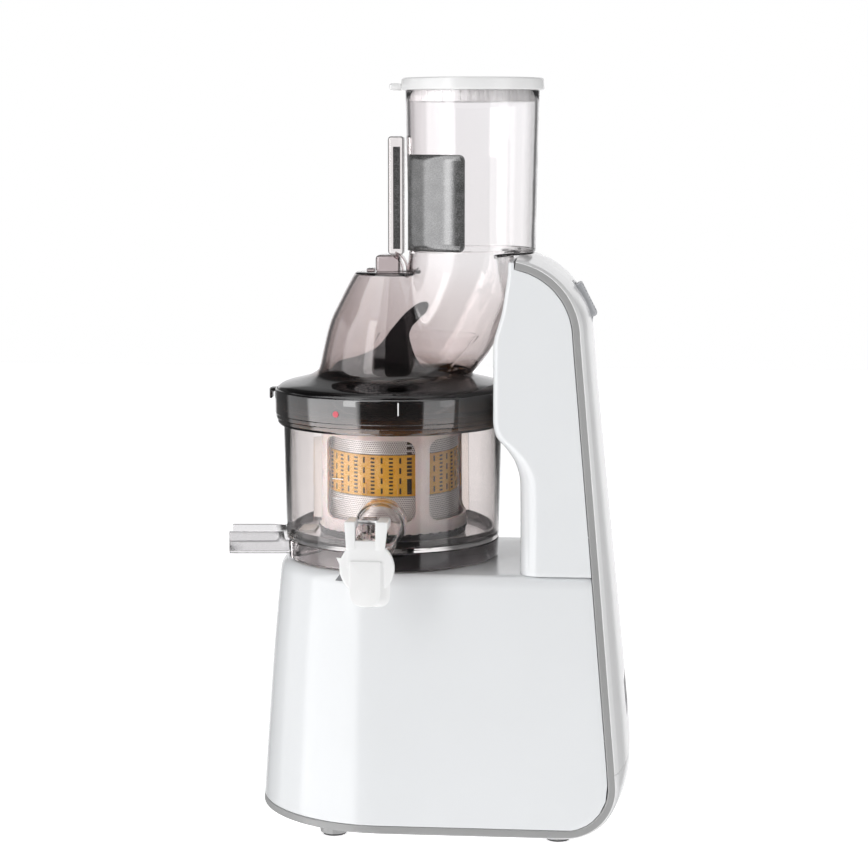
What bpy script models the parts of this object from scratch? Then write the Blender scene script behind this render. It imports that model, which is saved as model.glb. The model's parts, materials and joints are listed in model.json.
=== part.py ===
# Upright slow juicer: C-shaped housing, bowl set with strainer and auger, and a twist-on hopper.
# Everything is placed from the bowl's axis; the empty "frame" moves that axis to its place in the part.
import math

import bmesh
import bpy
from mathutils import Matrix, Vector

# Driving dimensions, in metres
AXIS_X, AXIS_Y = -0.0260, 0.01525     # the bowl's axis, from the middle of the part's footprint
WALL = 0.0028                         # housing wall
GAP = 0.0003                          # between pieces that touch
TRIM_Z = 0.0088                       # underside of the trim
FOOT_TOP = 0.0058
DECK_Z = 0.182                        # top of the lower housing
CRADLE_R = 0.084                      # hollow of the column that takes the bowl set
TRIM_WIDTH, TRIM_DEPTH = 0.0052, 0.0026
BEND_X, BEND_Z, BEND_R = 0.0795, 0.3385, 0.0511    # shoulder of the column, seen from the side
HEEL_X, HEEL_Z, HEEL_R = 0.1235, 0.0420, 0.0332    # lower rear corner
SPLIT_Z = 0.0520                      # joint of the rear cover and the base pan
BOWL_Z, FLOOR_Z, BOWL_TOP = 0.1953, 0.1980, 0.2850
BOWL_R0, BOWL_R1 = 0.0735, 0.0755     # outside of the bowl, bottom and top
LID_Z, LID_TOP, LID_R = 0.2730, 0.2976, 0.0809
CHUTE_X, CHUTE_R0, CHUTE_R1 = 0.0547, 0.0432, 0.0454
CHUTE_Z, CHUTE_TOP = 0.3928, 0.5005
RIM_Z, RIM_TOP, RIM_R = 0.5008, 0.5090, 0.0486
SHELL = 0.0025                        # walls of the clear mouldings
CAP_X, CAP_Y, CAP_Z, CAP_R = -0.0045, -0.1175, 0.1944, 0.0172
PIN_Y, PIN_Z = -0.1025, 0.2215        # hinge of the juice cap
SPOUT_TURN = math.radians(5)
IDLER_X = 0.0500                      # gear axes, from the bowl's axis
MOTOR_X = 0.0086
SWITCH_X, SWITCH_Z = 0.1283, 0.3580
SWITCH_TILT = math.radians(63)        # of the switch's face from level, towards the rear
FINE, MEDIUM, COARSE = 40, 28, 16     # sides of round pieces

SIDE = [(0.000, 0.0915), (0.054, 0.0878), (0.119, 0.0829), (0.158, 0.0793), (0.182, 0.0770),
        (0.300, 0.0710), (0.400, 0.0668)]                     # height, half width of the housing


def clear_scene():
    for item in list(bpy.data.objects):
        bpy.data.objects.remove(item, do_unlink=True)


clear_scene()
parts = bpy.data.collections.new("slow_juicer")
cutters = bpy.data.collections.new("cutters")
for group in (parts, cutters):
    bpy.context.scene.collection.children.link(group)


def empty(name, place, parent=None):
    item = bpy.data.objects.new(name, None)
    item.location = place
    item.parent = parent
    parts.objects.link(item)
    return item


frame = empty("frame", (AXIS_X, AXIS_Y, 0))


def finish(name, colour, roughness, metallic=0.0, alpha=1.0):
    made = bpy.data.materials.new(name)
    made.use_nodes = True
    shader = made.node_tree.nodes["Principled BSDF"]
    shader.inputs["Base Color"].default_value = (*colour, 1)
    shader.inputs["Roughness"].default_value = roughness
    shader.inputs["Metallic"].default_value = metallic
    shader.inputs["Alpha"].default_value = alpha
    return made


WHITE = finish("white gloss plastic", (0.86, 0.87, 0.88), 0.18)
SILVER = finish("silver grey plastic", (0.50, 0.50, 0.50), 0.38)
SMOKE = finish("smoke clear plastic", (0.30, 0.26, 0.25), 0.06, alpha=0.45)
CLEAR = finish("clear plastic", (0.80, 0.78, 0.78), 0.05, alpha=0.35)
AMBER = finish("amber plastic", (0.75, 0.42, 0.10), 0.25, alpha=0.8)
STEEL = finish("brushed steel", (0.62, 0.62, 0.62), 0.3, 1.0)
MESH = finish("perforated steel", (0.70, 0.69, 0.67), 0.35, 1.0)
DARK = finish("dark plastic", (0.04, 0.04, 0.045), 0.45)
GREY = finish("grey plastic", (0.35, 0.35, 0.36), 0.4)
LABEL = finish("grey film", (0.16, 0.16, 0.16), 0.5)
RUBBER = finish("rubber", (0.05, 0.05, 0.05), 0.8)
SILICONE = finish("white silicone", (0.80, 0.80, 0.78), 0.55)
BOARD = finish("circuit board", (0.05, 0.20, 0.09), 0.5)
ULTEM = finish("ivory plastic", (0.78, 0.74, 0.68), 0.35)


def place(name, mesh, look, parent=None):
    item = bpy.data.objects.new(name, mesh)
    if look is not None:
        mesh.materials.append(look)
        parts.objects.link(item)
    else:                                                # a cutter
        cutters.objects.link(item)
        item.hide_render = True
        item.display_type = 'WIRE'
    mesh.shade_smooth()
    mesh.set_sharp_from_angle(angle=math.radians(40))
    item.parent = parent or frame
    return item


def from_bmesh(name, shape, look, parent=None):
    bmesh.ops.recalc_face_normals(shape, faces=shape.faces)
    mesh = bpy.data.meshes.new(name)
    shape.to_mesh(mesh)
    shape.free()
    return place(name, mesh, look, parent)


def turned(name, profile, look, parent=None, at=(0, 0), steps=FINE, closed=True):
    """A ring or disc: the profile runs down its outer side and back up its inner side."""
    mesh = bpy.data.meshes.new(name)
    points = [(r, 0, z) for r, z in profile]
    edges = [(i, i + 1) for i in range(len(points) - 1)]
    if closed:
        edges.append((len(points) - 1, 0))
    mesh.from_pydata(points, edges, [])
    item = place(name, mesh, look, parent)
    item.location = (at[0], at[1], 0)
    spin = item.modifiers.new("turn", 'SCREW')
    spin.axis = 'Z'
    spin.steps = spin.render_steps = steps
    spin.use_merge_vertices = True
    spin.merge_threshold = 0.00001
    return item


def ring(name, outer, inner, low, high, look, parent=None, at=(0, 0), steps=MEDIUM):
    profile = [(outer, high), (outer, low), (inner, low), (inner, high)]
    return turned(name, profile, look, parent, at, steps)


def disc(name, radius, low, high, look, parent=None, at=(0, 0), steps=MEDIUM):
    profile = [(0, high), (radius, high), (radius, low), (0, low)]
    return turned(name, profile, look, parent, at, steps, closed=False)


def block(name, low, high, look, parent=None, bevel=0.0):
    shape = bmesh.new()
    bmesh.ops.create_cube(shape, size=1)
    size = Vector(high) - Vector(low)
    middle = (Vector(high) + Vector(low)) / 2
    bmesh.ops.scale(shape, vec=size, verts=shape.verts)
    bmesh.ops.translate(shape, vec=middle, verts=shape.verts)
    item = from_bmesh(name, shape, look, parent)
    if bevel:
        round_edges(item, bevel)
    return item


def round_edges(item, width, segments=2):
    edge = item.modifiers.new("edges", 'BEVEL')
    edge.width = width
    edge.segments = segments
    edge.limit_method = 'ANGLE'


def rod(name, radius, start, end, look, parent=None, steps=COARSE):
    run = Vector(end) - Vector(start)
    shape = bmesh.new()
    bmesh.ops.create_cone(shape, cap_ends=True, segments=steps, radius1=radius, radius2=radius,
                          depth=run.length)
    turn = Vector((0, 0, 1)).rotation_difference(run).to_matrix().to_4x4()
    bmesh.ops.transform(shape, matrix=Matrix.Translation((Vector(start) + Vector(end)) / 2) @ turn,
                        verts=shape.verts)
    return from_bmesh(name, shape, look, parent)


def loft(name, loops, look, parent=None):
    """A solid through closed loops of equal counts, capped at both ends."""
    shape = bmesh.new()
    rows = [[shape.verts.new(point) for point in loop] for loop in loops]
    count = len(rows[0])
    for near, far in zip(rows, rows[1:]):
        for i in range(count):
            j = (i + 1) % count
            shape.faces.new((near[i], near[j], far[j], far[i]))
    shape.faces.new(rows[0])
    shape.faces.new(rows[-1])
    return from_bmesh(name, shape, look, parent)


def sheet_rows(shape, rows, closed=False):
    grid = [[shape.verts.new(point) for point in row] for row in rows]
    for near, far in zip(grid, grid[1:]):
        for i in range(len(near) - (0 if closed else 1)):
            j = (i + 1) % len(near)
            shape.faces.new((near[i], near[j], far[j], far[i]))
    return grid


def thicken(item, depth):
    skin = item.modifiers.new("wall", 'SOLIDIFY')
    skin.thickness = depth
    skin.offset = -1
    skin.use_even_offset = True


def boolean(item, tool, operation='DIFFERENCE'):
    cut = item.modifiers.new(tool.name, 'BOOLEAN')
    cut.operation = operation
    cut.solver = 'EXACT'
    cut.object = tool


def circle(x, y, z, radius, steps=FINE):
    turns = (2 * math.pi * i / steps for i in range(steps))
    return [(x + radius * math.cos(t), y + radius * math.sin(t), z) for t in turns]


def along(table, key):
    for (a, low), (b, high) in zip(table, table[1:]):
        if key <= b:
            return low + (high - low) * (key - a) / (b - a)
    return table[-1][1]


def half_width(z):
    return along(SIDE, z)


# ---- outline of the housing, seen from the side ------------------------------------------------

def outline(step_z=0.045):
    """Outer edge of the trim from the column's top front to the underside: (x, z, nx, nz)."""
    points = []
    for i in range(8):
        t = math.radians(80.5 - 79.5 * i / 7)
        points.append((BEND_X + BEND_R * math.cos(t), BEND_Z + BEND_R * math.sin(t)))
    top, foot = points[-1], (HEEL_X + HEEL_R, HEEL_Z + 0.004)
    steps = round((top[1] - foot[1]) / step_z)
    for i in range(1, steps):
        f = i / steps
        points.append((top[0] + (foot[0] - top[0]) * f, top[1] + (foot[1] - top[1]) * f))
    for i in range(7):
        t = math.radians(4 - 94 * i / 6)
        points.append((HEEL_X + HEEL_R * math.cos(t), HEEL_Z + HEEL_R * math.sin(t)))
    path = []
    for i, (x, z) in enumerate(points):
        before, after = points[max(i - 1, 0)], points[min(i + 1, len(points) - 1)]
        dx, dz = after[0] - before[0], after[1] - before[1]
        size = math.hypot(dx, dz)
        path.append((x, z, -dz / size, dx / size))
    return path


PATH = outline()


def rear_edge(z):
    """How far back the side panels reach at a height: up to the trim's inner edge."""
    inner = sorted((z0 - nz * TRIM_WIDTH, x0 - nx * TRIM_WIDTH) for x0, z0, nx, nz in PATH)
    return along(inner, z) - 3 * GAP


def plan_row(z, inset=0.0):
    r = half_width(z) - inset
    back = rear_edge(z)
    side = [(back, r), (back * 0.6, r), (0.0, r)]
    nose = []
    for i in range(1, 14):
        t = math.pi / 2 + math.pi * i / 14
        nose.append((r * math.cos(t), r * math.sin(t)))
    return [(x, y, z) for x, y in side + nose] + [(x, -y, z) for x, y in reversed(side)]


# ---- housing ------------------------------------------------------------------------------------

def lower_housing():
    shape = bmesh.new()
    heights = [TRIM_Z + TRIM_WIDTH + 5 * GAP, 0.0180, 0.0240, 0.0340, 0.054, 0.119, 0.158, 0.170]
    rows = [plan_row(z) for z in heights]
    edge_r = DECK_Z - heights[-1]
    for angle in (30, 60, 90):
        t = math.radians(angle)
        rows.append(plan_row(heights[-1] + edge_r * math.sin(t), edge_r * (1 - math.cos(t)) * 0.55))
    grid = sheet_rows(shape, rows)
    rim = grid[-1]
    border = [shape.edges.get((a, b)) for a, b in zip(rim, rim[1:])]
    border.append(shape.edges.new((rim[0], rim[-1])))
    hole = bmesh.ops.create_circle(shape, segments=COARSE, radius=0.020,
                                   matrix=Matrix.Translation((0, 0, DECK_Z)))["verts"]
    border += list({edge for vert in hole for edge in vert.link_edges})
    bmesh.ops.triangle_fill(shape, edges=border, use_beauty=True, normal=(0, 0, 1))
    item = from_bmesh("lower_housing", shape, WHITE)
    thicken(item, WALL)
    return item


def column_shell():
    """The front is flat above the deck, then steps forward to straddle the bowl's lid."""
    shape = bmesh.new()
    rows = []
    front = [(0.182, 0.0917), (0.245, 0.0912), (0.256, 0.0885), (0.265, 0.0830), (0.275, 0.0760),
             (0.285, 0.0750), (0.335, 0.0750), (0.346, 0.0770), (0.356, 0.0790), (0.365, 0.0804),
             (0.3730, 0.0816), (0.3800, 0.0825), (0.3828, 0.0827), (0.3840, 0.0828), (0.3885, 0.0830)]
    for z, x in front:
        z = max(z, DECK_Z + GAP)
        r = half_width(z)
        back = rear_edge(z)
        corner = min(0.010, (back - x) * 0.8)
        row = [(back, r), ((back + x + corner) / 2, r)]
        for angle in (0, 30, 60, 90):
            t = math.radians(angle)
            row.append((x + corner * (1 - math.sin(t)), r - corner * (1 - math.cos(t))))
        for y in (0.046, 0.036, 0.024, 0.012):
            row.append((max(x, math.sqrt(CRADLE_R ** 2 - y ** 2)), y))
        middle = [(max(x, CRADLE_R), 0.0)]
        full = row + middle + [(a, -b) for a, b in reversed(row)]
        rows.append([(a, b, z) for a, b in full])
    sheet_rows(shape, rows)
    item = from_bmesh("column_shell", shape, WHITE)
    thicken(item, WALL)
    return item


def swept(name, path, section, look):
    """A solid whose section, as (across, out) pairs for each path point, follows the outline."""
    loops = [[(x + nx * out, y, z + nz * out) for y, out in section(x, z)] for x, z, nx, nz in path]
    return loft(name, loops, look)


def bulge(x, z):
    rise = along([(0.0, 0.0), (0.010, 0.0010), (0.040, 0.0070), (0.055, 0.0085), (0.300, 0.0058),
                  (0.350, 0.0055), (0.372, 0.0030), (0.400, 0.0008)], z)
    return max(rise, 0.0005)


def cover_section(x, z):
    r = half_width(z)
    rise = bulge(x, z)
    lip, deep = TRIM_DEPTH + GAP, 0.0020
    edge = 0.0008 if z > BEND_Z + BEND_R * 0.9 else 0.0015
    outer = [(r, edge), (r - 0.003, edge + rise * 0.35), (r * 0.86, edge + rise * 0.62),
             (r * 0.45, edge + rise * 0.88), (0.0, edge + rise)]
    inner = [(0.0, rise - deep), (r * 0.45, rise * 0.88 - deep), (r * 0.86, rise * 0.62 - deep),
             (r - lip - 0.001, rise * 0.2 - deep), (r - lip - 0.001, GAP), (r, GAP)]
    outer_far = [(-y, out) for y, out in reversed(outer[:-1])]
    inner_far = [(-y, out) for y, out in reversed(inner[1:])]
    return outer + outer_far + inner_far + inner


def rear_cover():
    path = [point for point in PATH if point[1] > SPLIT_Z + 0.02]
    x, z, nx, nz = PATH[len(path) - 1]
    below = PATH[len(path)]
    f = (z - SPLIT_Z - GAP) / (z - below[1])
    path.append((x + (below[0] - x) * f, SPLIT_Z + GAP, nx, nz))
    item = swept("rear_cover", path, cover_section, WHITE)
    hole = turned_box("switch_hole", 0.0312, 0.0232, 0.012, None)
    boolean(item, hole)
    vent = block("vent_hole", (0.140, -0.0262, 0.0763), (0.180, 0.0262, 0.1013), None)
    boolean(item, vent)
    return item


def turned_box(name, length, width, depth, look, parent=None, lift=0.0, bevel=0.0):
    """A block on the switch's face: length down the slope, depth square to it."""
    shape = bmesh.new()
    bmesh.ops.create_cube(shape, size=1)
    bmesh.ops.scale(shape, vec=(length, width, depth), verts=shape.verts)
    bmesh.ops.translate(shape, vec=(0, 0, lift), verts=shape.verts)
    item = from_bmesh(name, shape, look, parent)
    if parent is None:
        item.location = (SWITCH_X, 0, SWITCH_Z)
    item.rotation_euler = (0, SWITCH_TILT, 0)
    if bevel:
        round_edges(item, bevel)
    return item


def base_pan():
    """Wraps the lower rear corner and closes the underside."""
    start = next(i for i, point in enumerate(PATH) if point[1] < SPLIT_Z)
    x, z, nx, nz = PATH[start]
    above = PATH[start - 1]
    f = (SPLIT_Z - z) / (above[1] - z)
    path = [(x + (above[0] - x) * f, SPLIT_Z, nx, nz)] + PATH[start:]
    loops = [[(px + mx * out, y, pz + mz * out) for y, out in cover_section(px, pz)]
             for px, pz, mx, mz in path]
    top = TRIM_Z - GAP
    rim = half_width(0)
    seat = rim - TRIM_DEPTH - GAP - 0.001               # the raised middle drops inside the trim
    for x in (0.090, 0.030, 0.0, -0.030, -0.055, -0.074, -0.086):
        loop = []
        for y, out in cover_section(x, 0.0):
            reach = rim if abs(y) > seat + 0.0005 else seat
            narrow = math.sqrt(reach ** 2 - min(x, 0) ** 2) / reach
            loop.append((x, y * narrow, top - out + GAP))
        loops.append(loop)
    return loft("base_pan", loops, WHITE)


def trim_band():
    """Grey edging of both side panels; it runs round the front of the base in one piece."""
    def band(x, y, low, high, side):
        inward = TRIM_DEPTH
        return [(x, y, low), (x, y - side * inward, low), (high[0], high[1] - side * inward, high[2]),
                high]
    loops = []
    for x, z, nx, nz in PATH:
        xi, zi = x - nx * TRIM_WIDTH, z - nz * TRIM_WIDTH
        loops.append(band(x, half_width(z), z, (xi, half_width(zi), zi), 1))
    r0, r1 = half_width(TRIM_Z), half_width(TRIM_Z + TRIM_WIDTH)
    for x in (0.085, 0.045):
        loops.append(band(x, r0, TRIM_Z, (x, r1, TRIM_Z + TRIM_WIDTH), 1))
    front = []
    for i in range(15):
        t = math.pi / 2 + math.pi * i / 14
        c, s = math.cos(t), math.sin(t)
        front.append([(c * r, s * r, z) for r, z in
                      ((r0, TRIM_Z), (r0 - TRIM_DEPTH, TRIM_Z), (r1 - TRIM_DEPTH, TRIM_Z + TRIM_WIDTH),
                       (r1, TRIM_Z + TRIM_WIDTH))])
    back = [[(x, -y, z) for x, y, z in loop] for loop in reversed(loops)]
    return loft("trim_band", loops + front + back, SILVER)


def feet():
    for end, x in (("front", -0.034), ("rear", 0.118)):
        for side, y in (("left", 0.062), ("right", -0.062)):
            cup = [(0, FOOT_TOP), (0.0102, FOOT_TOP), (0.0096, 0.0016), (0, 0.0016)]
            turned(f"foot_{end}_{side}", cup, SILVER, at=(x, y), steps=COARSE, closed=False)
            disc(f"foot_pad_{end}_{side}", 0.0078, 0.0, 0.0013, RUBBER, at=(x, y), steps=COARSE)


def switch():
    bezel = turned_box("switch_bezel", 0.0306, 0.0226, 0.0090, DARK, lift=-0.0010)
    boolean(bezel, turned_box("bezel_hole", 0.0264, 0.0184, 0.0200, None))
    pivot = empty("switch_axis", (SWITCH_X, 0, SWITCH_Z), frame)
    turned_box("rocker_switch", 0.0250, 0.0172, 0.0070, GREY, parent=pivot, lift=0.0042, bevel=0.0012)
    turned_box("switch_body", 0.0250, 0.0176, 0.0110, DARK, lift=-0.0130)


def vent_and_electronics():
    grille = block("vent_grille", (0.1553, -0.0256, 0.0768), (0.1575, 0.0256, 0.1008), DARK)
    for i in range(4):
        z = 0.0792 + 0.0052 * i
        boolean(grille, block(f"vent_slot_{i}", (0.150, -0.0220, z), (0.165, 0.0220, z + 0.0030), None))
    block("control_board", (0.1080, -0.0330, 0.2600), (0.1100, 0.0330, 0.3200), BOARD)
    rod("lid_sensor", 0.0045, (0.0880, 0.0, 0.3050), (0.0990, 0.0, 0.3050), DARK)


# ---- drive --------------------------------------------------------------------------------------

def motor():
    at = (MOTOR_X, 0)
    can = [(0.040, 0.0920), (0.040, 0.0200), (0.0065, 0.0200), (0.0065, 0.0225), (0.0375, 0.0225),
           (0.0375, 0.0920)]
    turned("motor_can", can, STEEL, at=at, steps=MEDIUM)
    ring("motor_end_cap", 0.040, 0.0055, 0.0923, 0.0950, STEEL, at=at)
    ring("motor_stator", 0.0372, 0.0240, 0.0380, 0.0780, DARK, at=at)
    axis = empty("motor_axis", (MOTOR_X, 0, 0), frame)
    rotor = [(0, 0.1125), (0.004, 0.1125), (0.004, 0.0760), (0.0232, 0.0760), (0.0232, 0.0400),
             (0.004, 0.0400), (0.004, 0.0235), (0, 0.0235)]
    turned("motor_rotor", rotor, STEEL, axis, steps=COARSE, closed=False)
    ring("motor_pinion", 0.0068, 0.0043, 0.1045, 0.1120, STEEL, axis, steps=COARSE)
    ring("cooling_fan", 0.0330, 0.0043, 0.0270, 0.0340, GREY, axis, steps=COARSE)


def gearbox():
    plate = block("gearbox_plate", (-0.046, -0.044, 0.0956), (0.094, 0.044, 0.0990), STEEL)
    boolean(plate, disc("plate_bore", 0.0065, 0.090, 0.105, None, at=(MOTOR_X, 0), steps=COARSE))
    shape = bmesh.new()
    bmesh.ops.create_cube(shape, size=1)
    bmesh.ops.scale(shape, vec=(0.140, 0.088, 0.0327), verts=shape.verts)
    bmesh.ops.translate(shape, vec=(0.024, 0, 0.1157), verts=shape.verts)
    floor = [face for face in shape.faces if face.normal.z < -0.5]
    bmesh.ops.delete(shape, geom=floor, context='FACES_ONLY')
    cover = from_bmesh("gearbox_cover", shape, GREY)
    thicken(cover, 0.003)
    boolean(cover, disc("cover_bore", 0.0153, 0.120, 0.140, None, steps=COARSE))
    ring("shaft_bearing", 0.0150, 0.0069, 0.1292, 0.1362, STEEL, steps=COARSE)
    rod("idler_pin", 0.0040, (IDLER_X, 0, 0.0993), (IDLER_X, 0, 0.1285), STEEL)
    axis = empty("idler_axis", (IDLER_X, 0, 0), frame)
    wheel = [(0.0094, 0.1235), (0.0094, 0.1110), (0.0340, 0.1110), (0.0340, 0.1040), (0.0046, 0.1040),
             (0.0046, 0.1235)]
    turned("idler_gear", wheel, ULTEM, axis, steps=MEDIUM)
    shaft = empty("drive_axis", (0, 0, 0), frame)
    ring("output_gear", 0.0400, 0.0068, 0.1140, 0.1240, STEEL, shaft)
    rod("drive_shaft", 0.0065, (0, 0, 0.1133), (0, 0, 0.2090), STEEL, shaft, steps=6)
    seal = [(0.0196, DECK_Z + 0.004), (0.0196, 0.1770), (0.0080, 0.1770), (0.0080, DECK_Z + 0.004)]
    turned("deck_seal", seal, RUBBER, steps=COARSE)


# ---- bowl set -----------------------------------------------------------------------------------

bowl_lift = empty("bowl_lift", (0, 0, 0), frame)


def bowl_outer(z):
    return BOWL_R0 + (BOWL_R1 - BOWL_R0) * (z - BOWL_Z) / (BOWL_TOP - BOWL_Z)


def juice_bowl():
    profile = [(BOWL_R1, BOWL_TOP), (BOWL_R0, BOWL_Z), (0.0100, BOWL_Z), (0.0100, 0.2120),
               (0.0125, 0.2120), (0.0125, FLOOR_Z), (BOWL_R0 - SHELL, FLOOR_Z),
               (BOWL_R1 - SHELL, BOWL_TOP)]
    bowl = turned("juice_bowl", profile, SMOKE, bowl_lift)
    half, deep, spring = 0.0160, -0.0975, 0.2170            # outlet housing with a round top
    arch = [(half, BOWL_Z + 0.0008), (half, spring)]
    arch += [(half * math.cos(math.radians(a)), spring + half * math.sin(math.radians(a)))
             for a in (30, 60, 90, 120, 150)]
    arch += [(-half, spring), (-half, BOWL_Z + 0.0008)]
    hump = loft("outlet_housing", [[(x, y, z) for x, z in arch] for y in (-0.0722, deep)], None, bowl_lift)
    boolean(bowl, hump, 'UNION')
    chin = block("outlet_chin", (-half, deep, DECK_Z + 0.0040), (half, -0.0745, BOWL_Z + 0.0030), None,
                 bowl_lift)
    boolean(bowl, chin, 'UNION')
    nozzle = rod("outlet_nozzle", 0.0115, (CAP_X, deep + 0.004, 0.2008), (CAP_X, -0.1085, 0.1974), None,
                 bowl_lift, steps=20)
    boolean(bowl, nozzle, 'UNION')
    lug = block("pin_lug", (CAP_X - 0.0040, PIN_Y - 0.0035, PIN_Z - 0.0035),
                (CAP_X + 0.0040, deep + 0.0010, PIN_Z + 0.0035), None, bowl_lift)
    boolean(bowl, lug, 'UNION')
    pin_hole = rod("pin_hole", 0.0018, (CAP_X - 0.010, PIN_Y, PIN_Z), (CAP_X + 0.010, PIN_Y, PIN_Z), None,
                   bowl_lift, steps=12)
    boolean(bowl, pin_hole)
    bore = rod("outlet_bore", 0.0090, (CAP_X, -0.0600, 0.2085), (CAP_X, -0.1300, 0.1925), None, bowl_lift,
               steps=20)
    boolean(bowl, bore)
    port = block("pulp_port", (-0.0660, -0.0110, 0.190), (-0.0530, 0.0110, 0.200), None, bowl_lift)
    boolean(bowl, port)


def bowl_fittings():
    foot = [(BOWL_R0, BOWL_Z - GAP), (BOWL_R0 - 0.0006, DECK_Z + 0.0008), (BOWL_R0 - 0.005, DECK_Z + 0.0008),
            (BOWL_R0 - 0.005, BOWL_Z - GAP)]
    lower = turned("bowl_foot_ring", foot, SMOKE, bowl_lift)
    notch = spout_cutter("spout_notch", -0.070, 0.0175, DECK_Z - 0.003, BOWL_Z + 0.004)
    boolean(lower, notch)
    ring("bowl_bottom_seal", 0.0300, 0.0140, BOWL_Z - 0.0040, BOWL_Z - GAP, SILICONE, bowl_lift)
    ring("bowl_rim_seal", 0.0750, 0.0732, BOWL_TOP + GAP, BOWL_TOP + 0.0035, SILICONE, bowl_lift, steps=FINE)
    block("pulp_plug", (-0.0655, -0.0105, BOWL_Z + GAP), (-0.0535, 0.0105, FLOOR_Z + 0.001), SILICONE,
          bowl_lift)


def spout_cutter(name, reach, half, low, high):
    shape = bmesh.new()
    bmesh.ops.create_cube(shape, size=1)
    bmesh.ops.scale(shape, vec=(0.030, 2 * half, high - low), verts=shape.verts)
    bmesh.ops.translate(shape, vec=(reach, 0, (low + high) / 2), verts=shape.verts)
    bmesh.ops.rotate(shape, cent=(0, 0, 0), matrix=Matrix.Rotation(SPOUT_TURN, 3, 'Z'), verts=shape.verts)
    return from_bmesh(name, shape, None, bowl_lift)


def pulp_spout():
    """A channel with an open top, from under the bowl's floor to past the base's side."""
    low, high, half, wall = DECK_Z + 0.0026, BOWL_Z - 2 * GAP, 0.0160, 0.0022
    shape = bmesh.new()
    tip, root = -0.1125, -0.0470
    rise = 0.2003
    rows = []
    for x, top in ((root, high), (-0.0745, high), (-0.0752, rise), (tip, rise)):
        rows.append([(x, -half, top), (x, -half, low), (x, half, low), (x, half, top)])
    sheet_rows(shape, rows)
    bmesh.ops.rotate(shape, cent=(0, 0, 0), matrix=Matrix.Rotation(SPOUT_TURN, 3, 'Z'), verts=shape.verts)
    item = from_bmesh("pulp_spout", shape, CLEAR, bowl_lift)
    thicken(item, wall)
    return item


def strainer():
    low, high = FLOOR_Z + GAP, 0.2735
    frame_low = [(0.0478, high), (0.0478, low), (0.0464, low), (0.0464, high)]
    cage = turned("strainer_frame", frame_low, ULTEM, bowl_lift, steps=MEDIUM)
    for i in range(2):
        box = block(f"strainer_window_{i}", (-0.06, -0.018, 0.2135), (0.06, 0.018, 0.2705), None, bowl_lift)
        box.rotation_euler = (0, 0, math.radians(25 + 90 * i))
        boolean(cage, box)
    for name, a, b, look in (("strainer_mesh_lower", low, 0.2285, MESH), ("strainer_band", 0.2288, 0.2560, AMBER),
                             ("strainer_mesh_upper", 0.2563, high, MESH)):
        ring(name, 0.0458, 0.0450, a, b, look, bowl_lift)


def auger():
    """The flight is a ridge that winds up the core as its radius swells and fades."""
    turn = empty("auger_axis", (0, 0, 0), bowl_lift)
    low, high, rings, sides = 0.2180, 0.2960, 16, 24
    loops = []
    for i in range(rings + 1):
        f = i / rings
        core = 0.0300 - 0.0150 * f
        loop = []
        for j in range(sides):
            t = 2 * math.pi * j / sides
            ridge = max(0.0, math.cos(t - 2 * math.pi * 1.6 * f)) ** 3
            r = core + (0.0420 - core) * ridge * (1 - f ** 4)
            loop.append((r * math.cos(t), r * math.sin(t), low + (high - low) * f))
        loops.append(loop)
    screw = loft("auger", loops, ULTEM, turn)
    boolean(screw, disc("auger_socket", 0.0140, 0.2100, 0.2240, None, bowl_lift, steps=COARSE))
    rod("auger_top_pin", 0.0050, (0, 0, 0.2963), (0, 0, 0.3080), STEEL, turn)


def brush():
    turn = empty("brush_axis", (0, 0, 0), bowl_lift)
    low, high, outer = 0.2036, 0.2700, 0.0512
    body = [(outer, high), (outer - 0.0005, low), (outer - 0.0025, low), (outer - 0.0020, high)]
    holder = turned("brush_frame", body, ULTEM, turn, steps=MEDIUM)
    for i in range(2):
        box = block(f"brush_window_{i}", (-0.06, -0.0235, 0.2110), (0.06, 0.0235, 0.2620), None, turn)
        box.rotation_euler = (0, 0, math.radians(70 + 90 * i))
        boolean(holder, box)
    ring("brush_gear", 0.0510, 0.0490, 0.1985, 0.2033, DARK, turn)
    for i in range(2):
        t = math.radians(25 + 180 * i)
        blade = block(f"wiper_blade_{i + 1}", (outer + GAP, -0.0010, 0.2080), (outer + 0.0060, 0.0010, 0.2640),
                      AMBER, turn)
        blade.rotation_euler = (0, 0, t)


# ---- hopper -------------------------------------------------------------------------------------

hopper_turn = empty("hopper_axis", (0, 0, 0), frame)


def dome_profile(inset, low):
    outer = [(0.0251, 0.3783), (0.0280, 0.3733), (0.0426, 0.3438), (0.0476, 0.3244), (0.0507, 0.3116),
             (0.0574, 0.3070), (0.0644, 0.3049), (0.0749, 0.3020), (0.0791, 0.2985)]
    shifted = [(r - inset, z - inset * 0.8) for r, z in outer]
    return [(0, shifted[0][1])] + shifted + [(outer[-1][0] - inset, low), (0, low)]


def neck_loops(inset, low, high):
    steps = [(low, 0.0110, 0.0400), (0.344, 0.0330, 0.0400), (0.3913, 0.0435, 0.0380),
             (CHUTE_Z, CHUTE_X, CHUTE_R0)]
    loops = [circle(x, 0, z, r - inset) for z, x, r in steps]
    loops.append(circle(CHUTE_X, 0, high, CHUTE_R1 - inset))
    return loops


def hopper():
    shell = turned("hopper_shell", dome_profile(0.0, LID_TOP + GAP), SMOKE, hopper_turn, closed=False)
    neck = loft("neck_outside", neck_loops(0.0, 0.3080, CHUTE_TOP), None, hopper_turn)
    boolean(shell, neck, 'UNION')
    hollow = turned("dome_inside", dome_profile(SHELL, LID_TOP - 0.010), None, hopper_turn, closed=False)
    boolean(shell, hollow)
    bore = loft("neck_inside", neck_loops(SHELL, 0.3040, CHUTE_TOP + 0.010), None, hopper_turn)
    boolean(shell, bore)


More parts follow.
